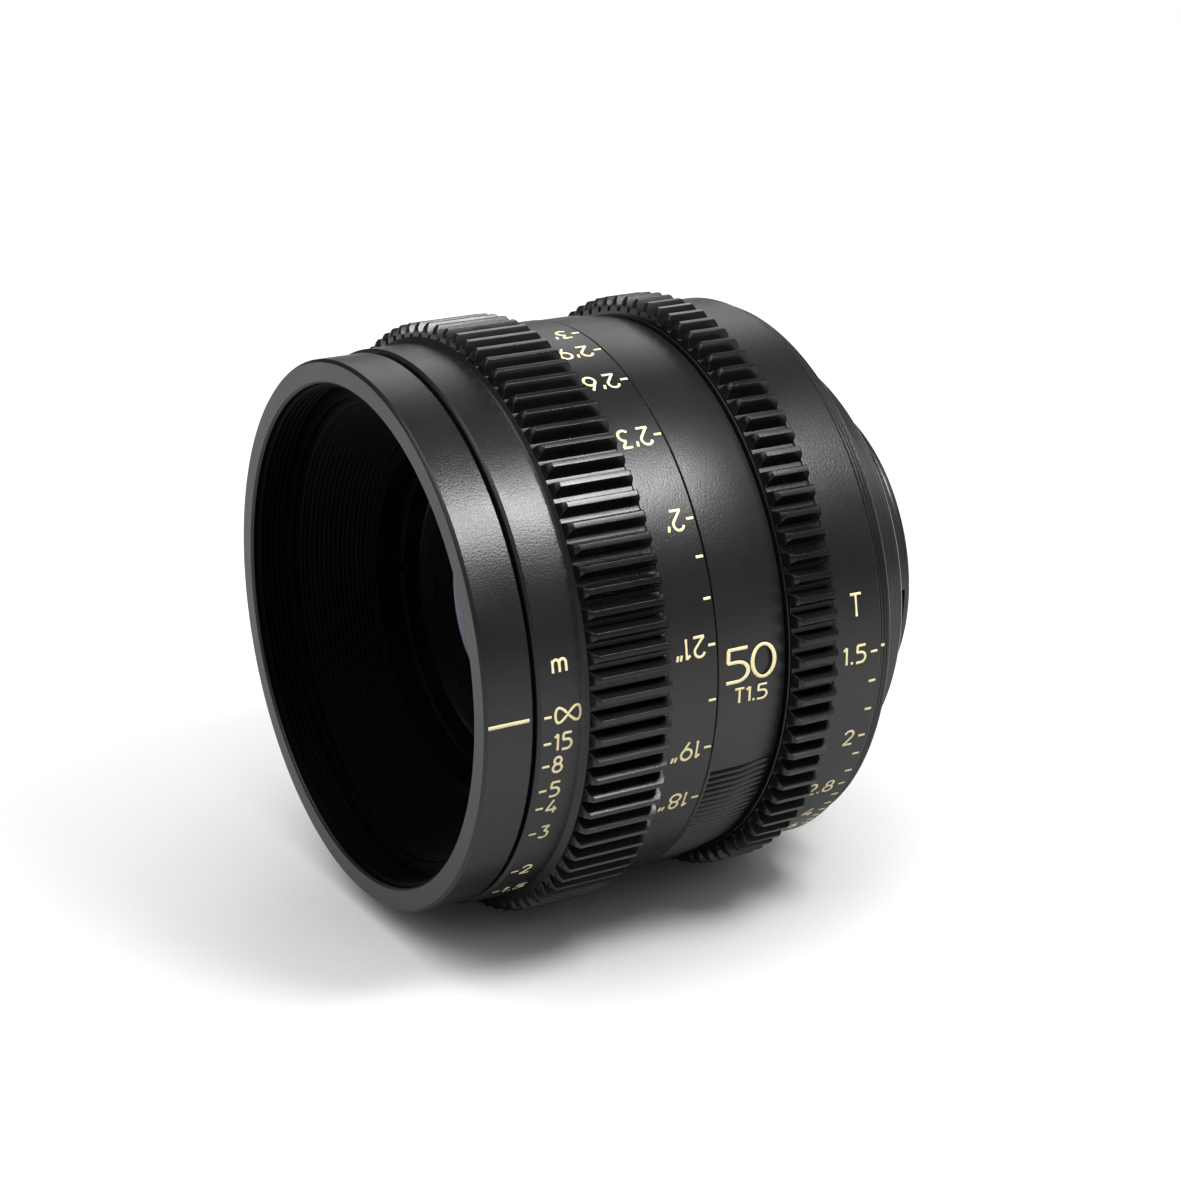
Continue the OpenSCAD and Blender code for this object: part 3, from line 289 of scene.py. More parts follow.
anodised = blastedFinish("blackAnodised", {
    "dark": (0.007, 0.007, 0.0073), "light": (0.010, 0.010, 0.0103), "driftScale": 160,
    "rough": (0.31, 0.36), "specular": 0.36, "fade": (0.3, 0.7), "metallic": 0.0,
    "grainScale": 4400, "bump": 0.42, "bumpDepth": 0.00006})
# The front face: the same anodised finish, painted lighter and glossier than the barrel to stand in for the
# light the face catches
faceWithPaintedLight = blastedFinish("faceWithPaintedLight", {
    "dark": (0.0105, 0.0105, 0.0108), "light": (0.0145, 0.0145, 0.0148), "driftScale": 160,
    "rough": (0.31, 0.36), "specular": 0.4, "fade": (0.5, 0.95), "metallic": 0.0,
    "grainScale": 4400, "bump": 0.25, "bumpDepth": 0.00005})
gearAnodised = blastedFinish("gearAnodised", {
    "dark": (0.0035, 0.0035, 0.0037), "light": (0.006, 0.006, 0.0062), "driftScale": 240,
    "rough": (0.26, 0.32), "specular": 0.34, "fade": (0.5, 0.95), "metallic": 0.0,
    "grainScale": 3600, "bump": 0.2, "bumpDepth": 0.00005})
mattBlack = turnedFinish("mattBlack", {
    "dark": (0.0006, 0.0006, 0.0007), "light": (0.0012, 0.0012, 0.0013), "driftScale": 200,
    "rough": (0.5, 0.65), "specular": 0.03, "metallic": 0.0,
    "ringScale": 4000, "bump": 0.15, "bumpDepth": 0.00003})
innerAnodised = turnedFinish("innerAnodised", {
    "dark": (0.012, 0.012, 0.013), "light": (0.022, 0.022, 0.023), "driftScale": 150, "rough": (0.38, 0.5),
    "specular": 0.3, "metallic": 0.0, "ringScale": 3500, "bump": 0.2, "bumpDepth": 0.00003})
mountMetal = turnedFinish("mountMetal", {
    "dark": (0.03, 0.03, 0.031), "light": (0.045, 0.045, 0.047), "driftScale": 120, "rough": (0.24, 0.38),
    "specular": 0.5, "metallic": 0.6, "ringScale": 3000, "bump": 0.2, "bumpDepth": 0.00003})
screwSteel = turnedFinish("screwSteel", {
    "dark": (0.2, 0.2, 0.205), "light": (0.3, 0.3, 0.305), "driftScale": 500, "rough": (0.25, 0.4),
    "specular": 0.5, "metallic": 1.0, "ringScale": 6000, "bump": 0.15, "bumpDepth": 0.00002})
turnedBrass = turnedFinish("turnedBrass", {
    "dark": (0.42, 0.28, 0.1), "light": (0.55, 0.39, 0.16), "driftScale": 220, "rough": (0.22, 0.36),
    "specular": 0.5, "metallic": 1.0, "ringScale": 3200, "bump": 0.2, "bumpDepth": 0.00003})
leafBlack = blastedFinish("leafBlack", {
    "dark": (0.009, 0.009, 0.01), "light": (0.016, 0.016, 0.017), "driftScale": 300, "rough": (0.4, 0.5),
    "specular": 0.3, "fade": (0.5, 0.95), "metallic": 0.2,
    "grainScale": 4200, "bump": 0.15, "bumpDepth": 0.00002})
creamPaint = blastedFinish("creamPaint", {
    "dark": (0.84, 0.72, 0.38), "light": (0.93, 0.84, 0.52), "driftScale": 900, "rough": (0.45, 0.6),
    "specular": 0.3, "fade": (0.5, 0.95), "metallic": 0.0,
    "grainScale": 6000, "bump": 0.1, "bumpDepth": 0.00001})
coatedGlass = glassFinish("coatedGlass", {
    "tintA": (0.93, 0.95, 1.0), "tintB": (0.97, 0.98, 1.0), "bloomScale": 25, "rough": 0.0, "ior": 1.52,
    "specular": 0.08, "coating": (0.45, 0.42, 1.0)})
print("finishes made:", len(bpy.data.materials))


def radiusMm(co):
    return math.hypot(co.x, co.z) / mm


# Another finish on some faces of a piece
def alsoFinished(piece, finish, wanted):
    piece.data.materials.append(finish)
    for face in piece.data.polygons:
        if wanted(face.center):
            face.material_index = len(piece.data.materials) - 1
    return piece


# Front ring with its filter thread
frontRing = {"outer": 34.0, "face": 0.35, "depth": 6.2, "major": 31.0, "minor": 30.594, "threadFrom": 0.9,
             "pitch": 0.75, "ridges": 5, "lip": 28.9, "lipFrom": 4.65, "lipTo": 5.25, "groove": 32.4,
             "spigotTo": 7.4, "bore": 29.84, "rearEdge": 0.18, "edge": 0.06}


def makeFrontRing(f):
    e = f["rearEdge"]
    profile = [(f["major"] + f["face"], 0), (f["outer"] - f["face"], 0), (f["outer"], f["face"]),
               (f["outer"], f["depth"] - e), (f["outer"] - e, f["depth"]), (f["groove"], f["depth"]),
               (f["groove"], f["spigotTo"]), (f["bore"], f["spigotTo"]), (f["bore"], f["lipTo"]),
               (f["lip"], f["lipTo"]), (f["lip"], f["lipFrom"]), (f["major"], f["lipFrom"])]
    for ridge in reversed(range(f["ridges"])):
        s = f["threadFrom"] + ridge * f["pitch"]
        profile += [(f["major"], s + 0.8 * f["pitch"]), (f["minor"], s + 0.55 * f["pitch"]),
                    (f["minor"], s + 0.25 * f["pitch"]), (f["major"], s)]
    profile += [(f["major"], f["face"]), profile[0]]
    ring = finished(turned("frontRing", profile, 288), f["edge"])
    dressed(ring, anodised, "barrel", "black_anodised", "front_ring")
    # The front face takes the lighter copy: painted light on the face
    alsoFinished(ring, faceWithPaintedLight, lambda co: co.y < place(0.02))
    return alsoFinished(ring, mattBlack, lambda co: radiusMm(co) < f["major"] + 0.1)


makeFrontRing(frontRing)

# Ribbed cone behind the filter thread
baffle = {"mouth": 28.4, "throat": 23.9, "from": 5.25, "length": 8.6, "ribs": 16, "ribDepth": 0.22,
          "crest": 0.35, "wall": 1.0, "flange": 29.8, "flangeTo": 5.95, "seat": 29.06, "seatTo": 7.15}


def makeBaffle(b):
    rib = b["length"] / b["ribs"]
    lean = (b["mouth"] - b["throat"]) / b["length"]
    profile = []
    for k in range(b["ribs"]):
        r = b["mouth"] - k * rib * lean
        profile += [(r, b["from"] + k * rib), (r + b["ribDepth"], b["from"] + (k + b["crest"]) * rib)]
    sEnd = b["from"] + b["length"]
    outside = b["mouth"] - (b["seatTo"] - b["from"]) * lean + b["wall"]
    profile += [(b["throat"], sEnd), (b["throat"] + b["wall"], sEnd), (outside, b["seatTo"]),
                (b["seat"], b["seatTo"]), (b["seat"], b["flangeTo"]), (b["flange"], b["flangeTo"]),
                (b["flange"], b["from"]), profile[0]]
    cone = finished(turned("frontBaffle", profile, 240))
    return dressed(cone, mattBlack, "barrel", "matte_black", "front_baffle")


makeBaffle(baffle)
print("front ring and baffle turned")

# Gear teeth of both rings: one tooth shaped, then copied round
gear = {"module": 0.8, "teeth": 90, "pressure": math.radians(20), "dedendum": 1.25, "inner": 34.5,
        "foot": 34.9, "lean": 0.25, "chamfer": 0.45, "edge": 0.04}


def toothHalf(g, r):
    pitchR = g["module"] * g["teeth"] / 2
    atPitch = math.tan(g["pressure"]) - g["pressure"]
    here = math.acos(min(1, pitchR * math.cos(g["pressure"]) / r))
    return math.degrees(math.pi / 2 / g["teeth"] + atPitch - (math.tan(here) - here))


def selectFaces(piece, wanted):
    bpy.ops.mesh.select_all(action="DESELECT")
    bpy.ops.mesh.select_mode(type="FACE")
    bpy.ops.object.mode_set(mode="OBJECT")
    for face in piece.data.polygons:
        face.select = wanted(face.center)
    bpy.ops.object.mode_set(mode="EDIT")


def angleOf(co):
    return math.degrees(math.atan2(co.z, co.x))


def makeGear(name, g, sFrom, length, phase):
    pitchR = g["module"] * g["teeth"] / 2
    tip = pitchR + g["module"]
    root = pitchR - g["dedendum"] * g["module"]
    rise = (tip - root) / 3
    pitch = 360 / g["teeth"]
    levels = (g["inner"], root, root + rise, tip - rise, tip)
    side = [onRing(r, sFrom, -toothHalf(g, max(r, root))) for r in levels]
    teeth = vertexRow(name, side)                     # one side of the tooth, mirrored to the other
    bpy.ops.mesh.select_all(action="SELECT")
    bpy.ops.mesh.extrude_edges_move()
    bpy.ops.transform.resize(value=(1, 1, -1), center_override=(0, 0, 0))
    bpy.ops.mesh.select_all(action="DESELECT")
    bpy.ops.object.mode_set(mode="OBJECT")
    for vertex in teeth.data.vertices:
        vertex.select = vertex.co.z > 0 and radiusMm(vertex.co) < root + 0.01
    bpy.ops.object.mode_set(mode="EDIT")              # the land between two teeth
    landSweep = pitch - 2 * toothHalf(g, root)
    bpy.ops.mesh.spin(steps=1, angle=math.radians(landSweep), center=(0, 0, 0), axis=(0, 1, 0))
    bpy.ops.mesh.select_all(action="SELECT")
    bpy.ops.mesh.extrude_region_move(TRANSFORM_OT_translate={"value": (0, length * mm, 0)})
    low = -toothHalf(g, root)
    cuts = (low, low + pitch)                         # where this tooth meets its neighbours
    selectFaces(teeth, lambda co: radiusMm(co) < root and min(abs(angleOf(co) - at) for at in cuts) < 0.01)
    bpy.ops.mesh.delete(type="FACE")
    bpy.ops.object.mode_set(mode="OBJECT")
    middle = place(sFrom + length / 2)
    shoulder = tip - rise
    for vertex in teeth.data.vertices:                # both ends lean back, and the tip is chamfered
        r = radiusMm(vertex.co)
        lean = g["lean"] * min(1, max(0, (r - g["foot"]) / (shoulder - g["foot"])))
        lean += g["chamfer"] * max(0, (r - shoulder) / rise)
        vertex.co.y += lean * mm if vertex.co.y < middle else -lean * mm
    bpy.ops.object.mode_set(mode="EDIT")
    bpy.ops.mesh.select_mode(type="VERT")
    bpy.ops.mesh.select_all(action="SELECT")
    bpy.ops.mesh.spin(steps=g["teeth"] - 1, angle=math.radians(360 - pitch), dupli=True, center=(0, 0, 0),
                      axis=(0, 1, 0))
    cleaned()
    teeth.rotation_euler = (0, -math.radians(phase), 0)
    pick(teeth)
    bpy.ops.object.transform_apply(location=True, rotation=True, scale=True)
    return finished(teeth, g["edge"], 1)


# Focus ring: metre band, gear and foot band
focusRing = {"bore": 31.89, "footBand": 35.1, "footFrom": 23.4, "rear": 30.0, "rearEdge": 0.08,
             "metreBand": 34.4, "front": 6.6, "frontEdge": 0.35, "gearFrom": 12.8, "gearLength": 10.6,
             "core": 34.7, "coreSlope": 0.55, "phase": 2.3, "recess": 32.7, "recessTo": 7.7, "edge": 0.05,
             "fillet": ((0.75, 0.0), (0.32, 0.18), (0.08, 0.42), (0.0, 0.75))}


def makeFocusRing(f):
    band, front, e = f["metreBand"], f["front"], f["frontEdge"]
    profile = [(f["bore"], f["rear"]), (f["footBand"] - f["rearEdge"], f["rear"]),
               (f["footBand"], f["rear"] - f["rearEdge"]), (f["footBand"], f["footFrom"]),
               (f["core"], f["footFrom"] - f["coreSlope"]), (f["core"], f["gearFrom"] + f["coreSlope"])]
    profile += [(band + rise, f["gearFrom"] - back) for rise, back in f["fillet"]]
    profile += [(band, front + e), (band - e, front), (f["recess"], front), (f["recess"], f["recessTo"]),
                (f["bore"], f["recessTo"]), (f["bore"], f["rear"])]
    ring = finished(turned("focusRing", profile, 288), f["edge"])
    dressed(ring, anodised, "focus", "black_anodised", "focus_ring")
    teeth = makeGear("focusTeeth", gear, f["gearFrom"], f["gearLength"], f["phase"])
    teeth.data.materials.append(gearAnodised)
    return joined(ring, teeth)


makeFocusRing(focusRing)
print("focus ring made")

# Mid barrel with its grip of fine grooves underneath
midBarrel = {"bore": 33.04, "front": 30.2, "rear": 40.0, "outer": 35.0, "rearOuter": 34.3,
             "taperFrom": 35.0, "taperTo": (34.45, 38.93), "gripFrom": 200, "gripSweep": 140, "grooves": 84,
             "grooveSteps": 6, "grooveFront": 30.65, "floor": 34.56, "grooveHalf": 0.6, "edge": 0.15}


def makeMidBarrel(m):
    e = m["edge"]
    sliver = 0.01                                     # the grooves end in a sharp wall
    profile = [(m["bore"], m["rear"]), (m["rearOuter"] - e, m["rear"]), (m["rearOuter"], m["rear"] - e),
               m["taperTo"], (m["outer"], m["taperFrom"]), (m["outer"], m["grooveFront"] + sliver),
               (m["outer"], m["grooveFront"] - sliver), (m["outer"], m["front"] + e / 2),
               (m["outer"] - e / 2, m["front"]), (m["bore"], m["front"]), (m["bore"], m["rear"])]
    grip = turned("gripSector", profile, m["grooves"] * m["grooveSteps"], m["gripFrom"], m["gripSweep"])
    pitch = m["gripSweep"] / m["grooves"]
    for vertex in grip.data.vertices:
        r = radiusMm(vertex.co)
        s = (vertex.co.y - frontFace) / mm
        if r > m["floor"] and s > m["grooveFront"]:
            share = ((angleOf(vertex.co) - m["gripFrom"]) % 360) / pitch
            off = abs(share - math.floor(share) - 0.5) * pitch
            target = min(r, m["floor"] + (m["outer"] - m["floor"]) * off / m["grooveHalf"])
            vertex.co.x *= target / r
            vertex.co.z *= target / r
    plain = turned("midBarrel", profile, 144, m["gripFrom"] + m["gripSweep"], 360 - m["gripSweep"])
    joined(plain, grip)
    bpy.ops.object.mode_set(mode="EDIT")
    cleaned()
    return dressed(finished(plain), anodised, "barrel", "black_anodised", "mid_barrel")


makeMidBarrel(midBarrel)

# Iris ring: gear and T band
irisRing = {"bore": 31.05, "front": 40.3, "rear": 53.3, "band": 35.2, "rearEdge": 0.3, "gearFrom": 40.4,
            "gearLength": 6.1, "core": 34.7, "coreSlope": 0.55, "frontEdge": 0.2, "phase": 1.35, "edge": 0.05}


def makeIrisRing(i):
    gearTo = i["gearFrom"] + i["gearLength"]
    e = i["frontEdge"]
    profile = [(i["bore"], i["rear"]), (i["band"] - i["rearEdge"], i["rear"]),
               (i["band"], i["rear"] - i["rearEdge"]), (i["band"], gearTo),
               (i["core"], gearTo - i["coreSlope"]), (i["core"], i["front"] + e), (i["core"] - e, i["front"]),
               (i["bore"], i["front"]), (i["bore"], i["rear"])]
    ring = finished(turned("irisRing", profile, 288), i["edge"])
    dressed(ring, anodised, "iris", "black_anodised", "iris_ring")
    teeth = makeGear("irisTeeth", gear, i["gearFrom"], i["gearLength"], i["phase"])
    teeth.data.materials.append(gearAnodised)
    return joined(ring, teeth)


makeIrisRing(irisRing)
print("mid barrel and iris ring made")

# Index ring behind the T band, with two fine turned lines
indexRing = {"bore": 31.01, "outer": 34.3, "front": 53.6, "rear": 55.2, "lines": (54.2, 54.6),
             "lineDepth": 0.08, "lineHalf": 0.08, "edge": 0.2}


def makeIndexRing(i):
    e = i["edge"]
    profile = [(i["bore"], i["front"]), (i["outer"] - e, i["front"]), (i["outer"], i["front"] + e)]
    for line in i["lines"]:
        profile += [(i["outer"], line - i["lineHalf"]), (i["outer"] - i["lineDepth"], line),
                    (i["outer"], line + i["lineHalf"])]
    profile += [(i["outer"], i["rear"] - e), (i["outer"] - e, i["rear"]), (i["bore"], i["rear"]), profile[0]]
    ring = finished(turned("indexRing", profile, 240))
    return dressed(ring, anodised, "barrel", "black_anodised", "index_ring")


makeIndexRing(indexRing)

# Rear barrel: taper, its raised upper half, and the window that the iris arm turns in
rearBarrel = {"bore": 27.0, "bearing": 30.97, "bearingFrom": 40.0, "spigot": 33.0, "spigotFrom": 33.0,
              "spigotBore": 29.84, "spigotTo": 37.0, "taperFront": 33.3, "taperRear": 28.2, "index": 55.2,
              "foot": 58.8, "rear": 59.3, "hole": 21.4, "flangeFrom": 56.8, "raise": 0.4, "raiseFrom": 2.75,
              "raiseSink": 1.0, "raiseGap": 0.3, "window": (181, 86), "windowAlong": (46.2, 50.8),
              "windowAcross": (26, 32), "edge": 0.06}


def makeRearBarrel(b):
    profile = [(b["spigotBore"], b["spigotFrom"]), (b["spigotBore"], b["spigotTo"]),
               (b["bore"], b["spigotTo"]), (b["bore"], b["flangeFrom"]), (b["hole"], b["flangeFrom"]),
               (b["hole"], b["rear"]),
               (b["taperRear"], b["rear"]), (b["taperRear"], b["foot"]), (b["taperFront"], b["index"]),
               (b["bearing"], b["index"]), (b["bearing"], b["bearingFrom"]), (b["spigot"], b["bearingFrom"]),
               (b["spigot"], b["spigotFrom"]), (b["spigotBore"], b["spigotFrom"])]
    barrel = turned("rearBarrel", profile, 240)
    window = ringBlock("windowCutter", *b["windowAcross"], *b["windowAlong"], *b["window"], 48)
    cutAway(barrel, window)
    lift, sink = b["raise"], b["raiseSink"]
    raisedFront = b["index"] + b["raiseGap"]
    section = [(b["taperRear"] - sink, b["foot"]), (b["taperRear"] + lift, b["foot"]),
               (b["taperFront"] + lift, raisedFront), (b["taperFront"] - sink, raisedFront),
               (b["taperRear"] - sink, b["foot"])]
    half = turned("raisedHalf", section, 150, b["raiseFrom"], 180 - 2 * b["raiseFrom"])
    pick(half)
    bpy.ops.object.mode_set(mode="EDIT")
    bpy.ops.mesh.select_mode(type="EDGE")
    bpy.ops.mesh.select_all(action="DESELECT")
    bpy.ops.mesh.select_non_manifold()
    bpy.ops.mesh.edge_face_add()
    bpy.ops.mesh.select_mode(type="VERT")
    cleaned()
    finished(half, b["edge"])
    joined(finished(barrel, b["edge"]), half)
    return dressed(barrel, anodised, "barrel", "black_anodised", "rear_barrel")


makeRearBarrel(rearBarrel)
print("rear barrel made")

# Mount flange with the bayonet
mount = {"bore": 18.6, "flange": 27.4, "front": 59.5, "seat": 62.0, "relief": 22.2, "reliefDepth": 0.3,
         "barrel": 20.6, "rim": 21.0, "rimFrom": 66.9, "rear": 67.8, "chamfer": 0.25, "lugs": 4, "lug": 21.9,
         "lugRoot": 20.1, "lugAlong": (64.7, 66.3), "lugFrom": 3.25, "lugSweep": 44, "stopFrom": 62.9,
         "stopSweep": 4, "screws": 5, "screwAt": 54, "screwRadius": 24.3, "headRadius": 1.54,
         "shankRadius": 0.79, "shankDepth": 3, "pinAt": 168, "pinRadius": 1.6, "pinDepth": 1.6, "edge": 0.06}


# A cutter for one countersunk hole: its mouth, its cone and its shank
def drill(name, spot, radius, tipRadius, depth):
    proud = 0.02
    clearSelection()
    bpy.ops.mesh.primitive_circle_add(vertices=40, radius=radius * mm, fill_type="NGON", location=spot,
                                      rotation=(math.pi / 2, 0, 0))
    tool = bpy.context.object
    tool.name = name
    bpy.ops.object.transform_apply(location=True, rotation=True, scale=True)
    bpy.ops.object.mode_set(mode="EDIT")
    bpy.ops.mesh.select_all(action="SELECT")
    bpy.ops.transform.translate(value=(0, proud * mm, 0))
    cone = (0, -(radius - tipRadius + proud) * mm, 0)
    bpy.ops.mesh.extrude_region_move(TRANSFORM_OT_translate={"value": cone})
    bpy.ops.transform.resize(value=(tipRadius / radius,) * 3, center_override=(spot[0], 0, spot[2]))
    bpy.ops.mesh.extrude_region_move(TRANSFORM_OT_translate={"value": (0, -depth * mm, 0)})
    cleaned()
    return tool


def makeMount(m):
    e = m["chamfer"]
    reliefTo = m["seat"] - m["reliefDepth"]
    profile = [(m["bore"], m["front"]), (m["flange"], m["front"]), (m["flange"], m["seat"] - e),
               (m["flange"] - e, m["seat"]), (m["relief"], m["seat"]), (m["relief"], reliefTo),
               (m["barrel"], reliefTo), (m["barrel"], m["rimFrom"]), (m["rim"], m["rimFrom"]),
               (m["rim"], m["rear"] - e), (m["rim"] - e, m["rear"]), (m["bore"], m["rear"]),
               (m["bore"], m["front"])]
    flange = turned("mountFlange", profile, 240)
    across = (m["lugRoot"], m["lug"])
    blocks = []
    for k in range(m["lugs"]):
        at = m["lugFrom"] + k * 360 / m["lugs"]
        blocks.append(ringBlock("lug", *across, *m["lugAlong"], at, m["lugSweep"], 32))
    middle = m["lugFrom"] + m["lugSweep"] / 2
    stopAlong = (m["stopFrom"], m["lugAlong"][1])
    blocks.append(ringBlock("lugStop", *across, *stopAlong, middle, m["stopSweep"], 6))
    for block in blocks:
        finished(block, m["edge"])
    cutters = []
    for k in range(m["screws"]):
        spot = onRing(m["screwRadius"], m["seat"], m["screwAt"] + k * 360 / m["screws"])
        cutters.append(drill("countersink", spot, m["headRadius"], m["shankRadius"], m["shankDepth"]))
    clearSelection()
    bpy.ops.mesh.primitive_cylinder_add(
        vertices=40, radius=m["pinRadius"] * mm, depth=2 * m["pinDepth"] * mm,
        location=onRing(m["screwRadius"], m["seat"], m["pinAt"]), rotation=(math.pi / 2, 0, 0))
    pinHole = bpy.context.object
    bpy.ops.object.transform_apply(location=True, rotation=True, scale=True)
    cutters.append(pinHole)
    cutAway(flange, *cutters)
    joined(finished(flange, m["edge"]), *blocks)
    return dressed(flange, mountMetal, "barrel", "mount_metal", "mount_flange")


makeMount(mount)
print("mount made")

# Optical block: the two cells, their retaining rings and the glass
cells = {
    "frontCell": [(15.54, 42.4), (23.5, 42.4), (23.5, 41.0), (17.6, 41.0), (17.6, 30.5), (25.9, 30.5),
                  (25.9, 34.4), (27.42, 34.4), (27.42, 24.0), (23.3, 24.0), (23.3, 13.4), (21.54, 13.4),
                  (21.54, 21.753), (18.54, 21.753), (18.54, 29.117), (15.0, 29.117), (15.0, 32.323),
                  (15.54, 32.685), (15.54, 42.4)],
    "rearCell": [(11.8, 47.2), (11.8, 48.423), (13.54, 48.423), (13.54, 57.323), (14.54, 57.323),
                 (14.54, 65.058), (17.6, 65.058), (17.6, 48.8), (21.6, 48.8), (21.6, 47.2), (11.8, 47.2)]}
retainers = {
    "frontRetainer": {"profile": [(20.2, 18.617), (21.5, 19.244), (21.5, 16.457), (20.5, 16.457),
                                  (20.2, 16.757), (20.2, 18.617)],
                      "across": (19.7, 22.2), "slot": (16.3, 17.157), "at": (-1.6, 178.4), "sweep": 3.2},
    "rearRetainer": {"profile": [(13.2, 64.312), (14.5, 64.312), (14.5, 61.698), (13.2, 62.152),
                                 (13.2, 64.312)],
                     "across": (12.7, 15.2), "slot": (63.612, 64.5), "at": (87.5, 267.5), "sweep": 5}}
cellNodes = {"frontCell": "front_cell", "rearCell": "rear_cell", "frontRetainer": "front_retaining_ring",
             "rearRetainer": "rear_retaining_ring"}
noseTo, noseRadius = 23.5, 23.4
cellEdge, retainerEdge = 0.05, 0.04
for name, profile in cells.items():
    cell = finished(turned(name, profile, 200), cellEdge)
    dressed(cell, innerAnodised, "optical_block", "inner_anodised", cellNodes[name])
    alsoFinished(cell, mattBlack, lambda co: co.y < place(noseTo) and radiusMm(co) < noseRadius)
for name, ring in retainers.items():
    blank = turned(name, ring["profile"], 200)
    section = (*ring["across"], *ring["slot"])
    slots = [ringBlock("spannerSlot", *section, at, ring["sweep"], 2) for at in ring["at"]]
    retainer = finished(cutAway(blank, *slots), retainerEdge)
    dressed(retainer, mattBlack, "optical_block", "matte_black", cellNodes[name])

glass = {"diameter": (43, 37, 31, 31, 27, 27, 29), "thick": (6.5, 5.5, 5.8, 1.8, 1.8, 6.56, 3.4),
         "front": (48, 38, 26, 90, -20, 45, -150), "rear": (220, 75, 90, 17, 45, -27, -42),
         "air": (0.6, 0.8, 0.02, 16.84, 0.02, 0.4), "firstVertex": 14.2, "frontOpening": {4: 11.5},
         "rearOpening": {3: 12.8}, "steps": 20}


def sag(radius, h):
    return radius - math.copysign(math.sqrt(radius * radius - h * h), radius)


# One polished face, from the axis out to its edge
def glassFace(radius, s, edge, steps):
    return [(edge * i / steps, s + sag(radius, edge * i / steps)) for i in range(steps + 1)]


def makeGlass(g):
    s = g["firstVertex"]
    for k in range(len(g["thick"])):
        rim = g["diameter"][k] / 2
        frontR = g["frontOpening"].get(k, rim)
        rearR = g["rearOpening"].get(k, rim)
        rearS = s + g["thick"][k]
        profile = glassFace(g["front"][k], s, frontR, g["steps"])
        if frontR < rim:
            profile.append((rim, profile[-1][1]))
        back = glassFace(g["rear"][k], rearS, rearR, g["steps"])
        if rearR < rim:
            back.append((rim, back[-1][1]))
        name = "lens_%d" % (k + 1)
        element = finished(turned("glass%d" % (k + 1), profile + back[::-1], 128))
        dressed(element, coatedGlass, "optical_block", "coated_glass", name)
        if k < len(g["air"]):
            s = rearS + g["air"][k]


makeGlass(glass)
print("optical block made")


# Scale marks: strokes shaped flat, thickened, and laid round the ring they belong to
def arc(cx, cy, rx, ry, start, end):
    count = max(4, round(abs(end - start) / 15))
    turns = [math.radians(start + (end - start) * i / count) for i in range(count + 1)]
    return [(cx + rx * math.cos(t), cy + ry * math.sin(t)) for t in turns]


strokes = {
    "0": (0.62, [arc(0.31, 0.5, 0.31, 0.5, 0, 360)]),
    "1": (0.24, [[(0.0, 0.82), (0.2, 1.0)], [(0.2, 1.0), (0.2, 0.0)]]),
    "2": (0.58, [arc(0.28, 0.71, 0.28, 0.29, 165, -30) + [(0.02, 0.0)], [(0.0, 0.0), (0.6, 0.0)]]),
    "3": (0.56, [[(0.03, 1.0), (0.54, 1.0)], [(0.53, 1.0), (0.26, 0.61)],
                 arc(0.25, 0.305, 0.3, 0.305, 92, -145)]),
    "4": (0.66, [[(0.42, 1.0), (0.0, 0.26)], [(-0.02, 0.26), (0.68, 0.26)], [(0.5, 0.5), (0.5, 0.0)]]),
    "5": (0.6, [[(0.6, 1.0), (0.06, 1.0)], [(0.08, 1.0), (0.06, 0.6)],
                [(0.04, 0.6)] + arc(0.31, 0.3, 0.3, 0.3, 90, -90) + [(0.0, 0.0)]]),
    "6": (0.6, [arc(0.3, 0.31, 0.3, 0.31, 0, 360), [(0.04, 0.44), (0.4, 1.02)]]),
    "7": (0.56, [[(0.0, 1.0), (0.58, 1.0)], [(0.57, 1.0), (0.2, 0.0)]]),
    "8": (0.58, [arc(0.29, 0.765, 0.225, 0.235, 0, 360), arc(0.29, 0.27, 0.29, 0.27, 0, 360)]),
    "9": (0.6, [arc(0.3, 0.69, 0.3, 0.31, 0, 360), [(0.56, 0.56), (0.2, -0.02)]]),
    "T": (0.58, [[(0.0, 1.0), (0.58, 1.0)], [(0.29, 1.0), (0.29, 0.0)]]),
    "m": (0.86, [[(0.0, 0.0), (0.0, 0.74)], arc(0.215, 0.47, 0.215, 0.26, 180, 0) + [(0.43, 0.0)],
                 arc(0.645, 0.47, 0.215, 0.26, 180, 0) + [(0.86, 0.0)]]),
    "i": (1.64, [[(0.82 + 0.82 * math.sin(math.radians(t)), 0.5 + 0.45 * math.sin(math.radians(2 * t)))
                 for t in range(0, 361, 10)]]),
    "'": (0.1, [[(0.08, 1.02), (0.0, 0.74)]]),
    "\"": (0.3, [[(0.08, 1.02), (0.0, 0.74)], [(0.28, 1.02), (0.2, 0.74)]]),
    ".": (0.12, [[(0.0, 0.03), (0.13, 0.03)]]),
    "-": (1.0, [[(0.0, 0.5), (1.0, 0.5)]])}
shapes = {}
letterGap = 0.24
flatness = 0.25


# One glyph: rows of vertices made a curve, given a round section and pressed flat
def glyphShape(glyph, size, stroke):
    key = (glyph, size, stroke)
    if key not in shapes:
        rows = []
        for points in strokes[glyph][1]:
            rows.append(vertexRow("stroke", [(x * size * mm, y * size * mm, 0) for x, y in points]))
            bpy.ops.mesh.select_all(action="SELECT")
            bpy.ops.mesh.remove_doubles(threshold=0.001 * mm)
            bpy.ops.object.mode_set(mode="OBJECT")
        shape = joined(*rows)
        bpy.ops.object.convert(target="CURVE")
        shape = bpy.context.object
        shape.data.bevel_depth = stroke * mm / 2
        shape.data.bevel_resolution = 2
        shape.data.use_fill_caps = True
        bpy.ops.object.convert(target="MESH")
        shape = bpy.context.object
        shape.scale = (1, 1, flatness)
        bpy.ops.object.transform_apply(location=True, rotation=True, scale=True)
        shapes[key] = shape
    return shapes[key]


def textWidth(text, size, gap=letterGap):
    return sum(strokes[glyph][0] for glyph in text) * size + gap * size * (len(text) - 1)


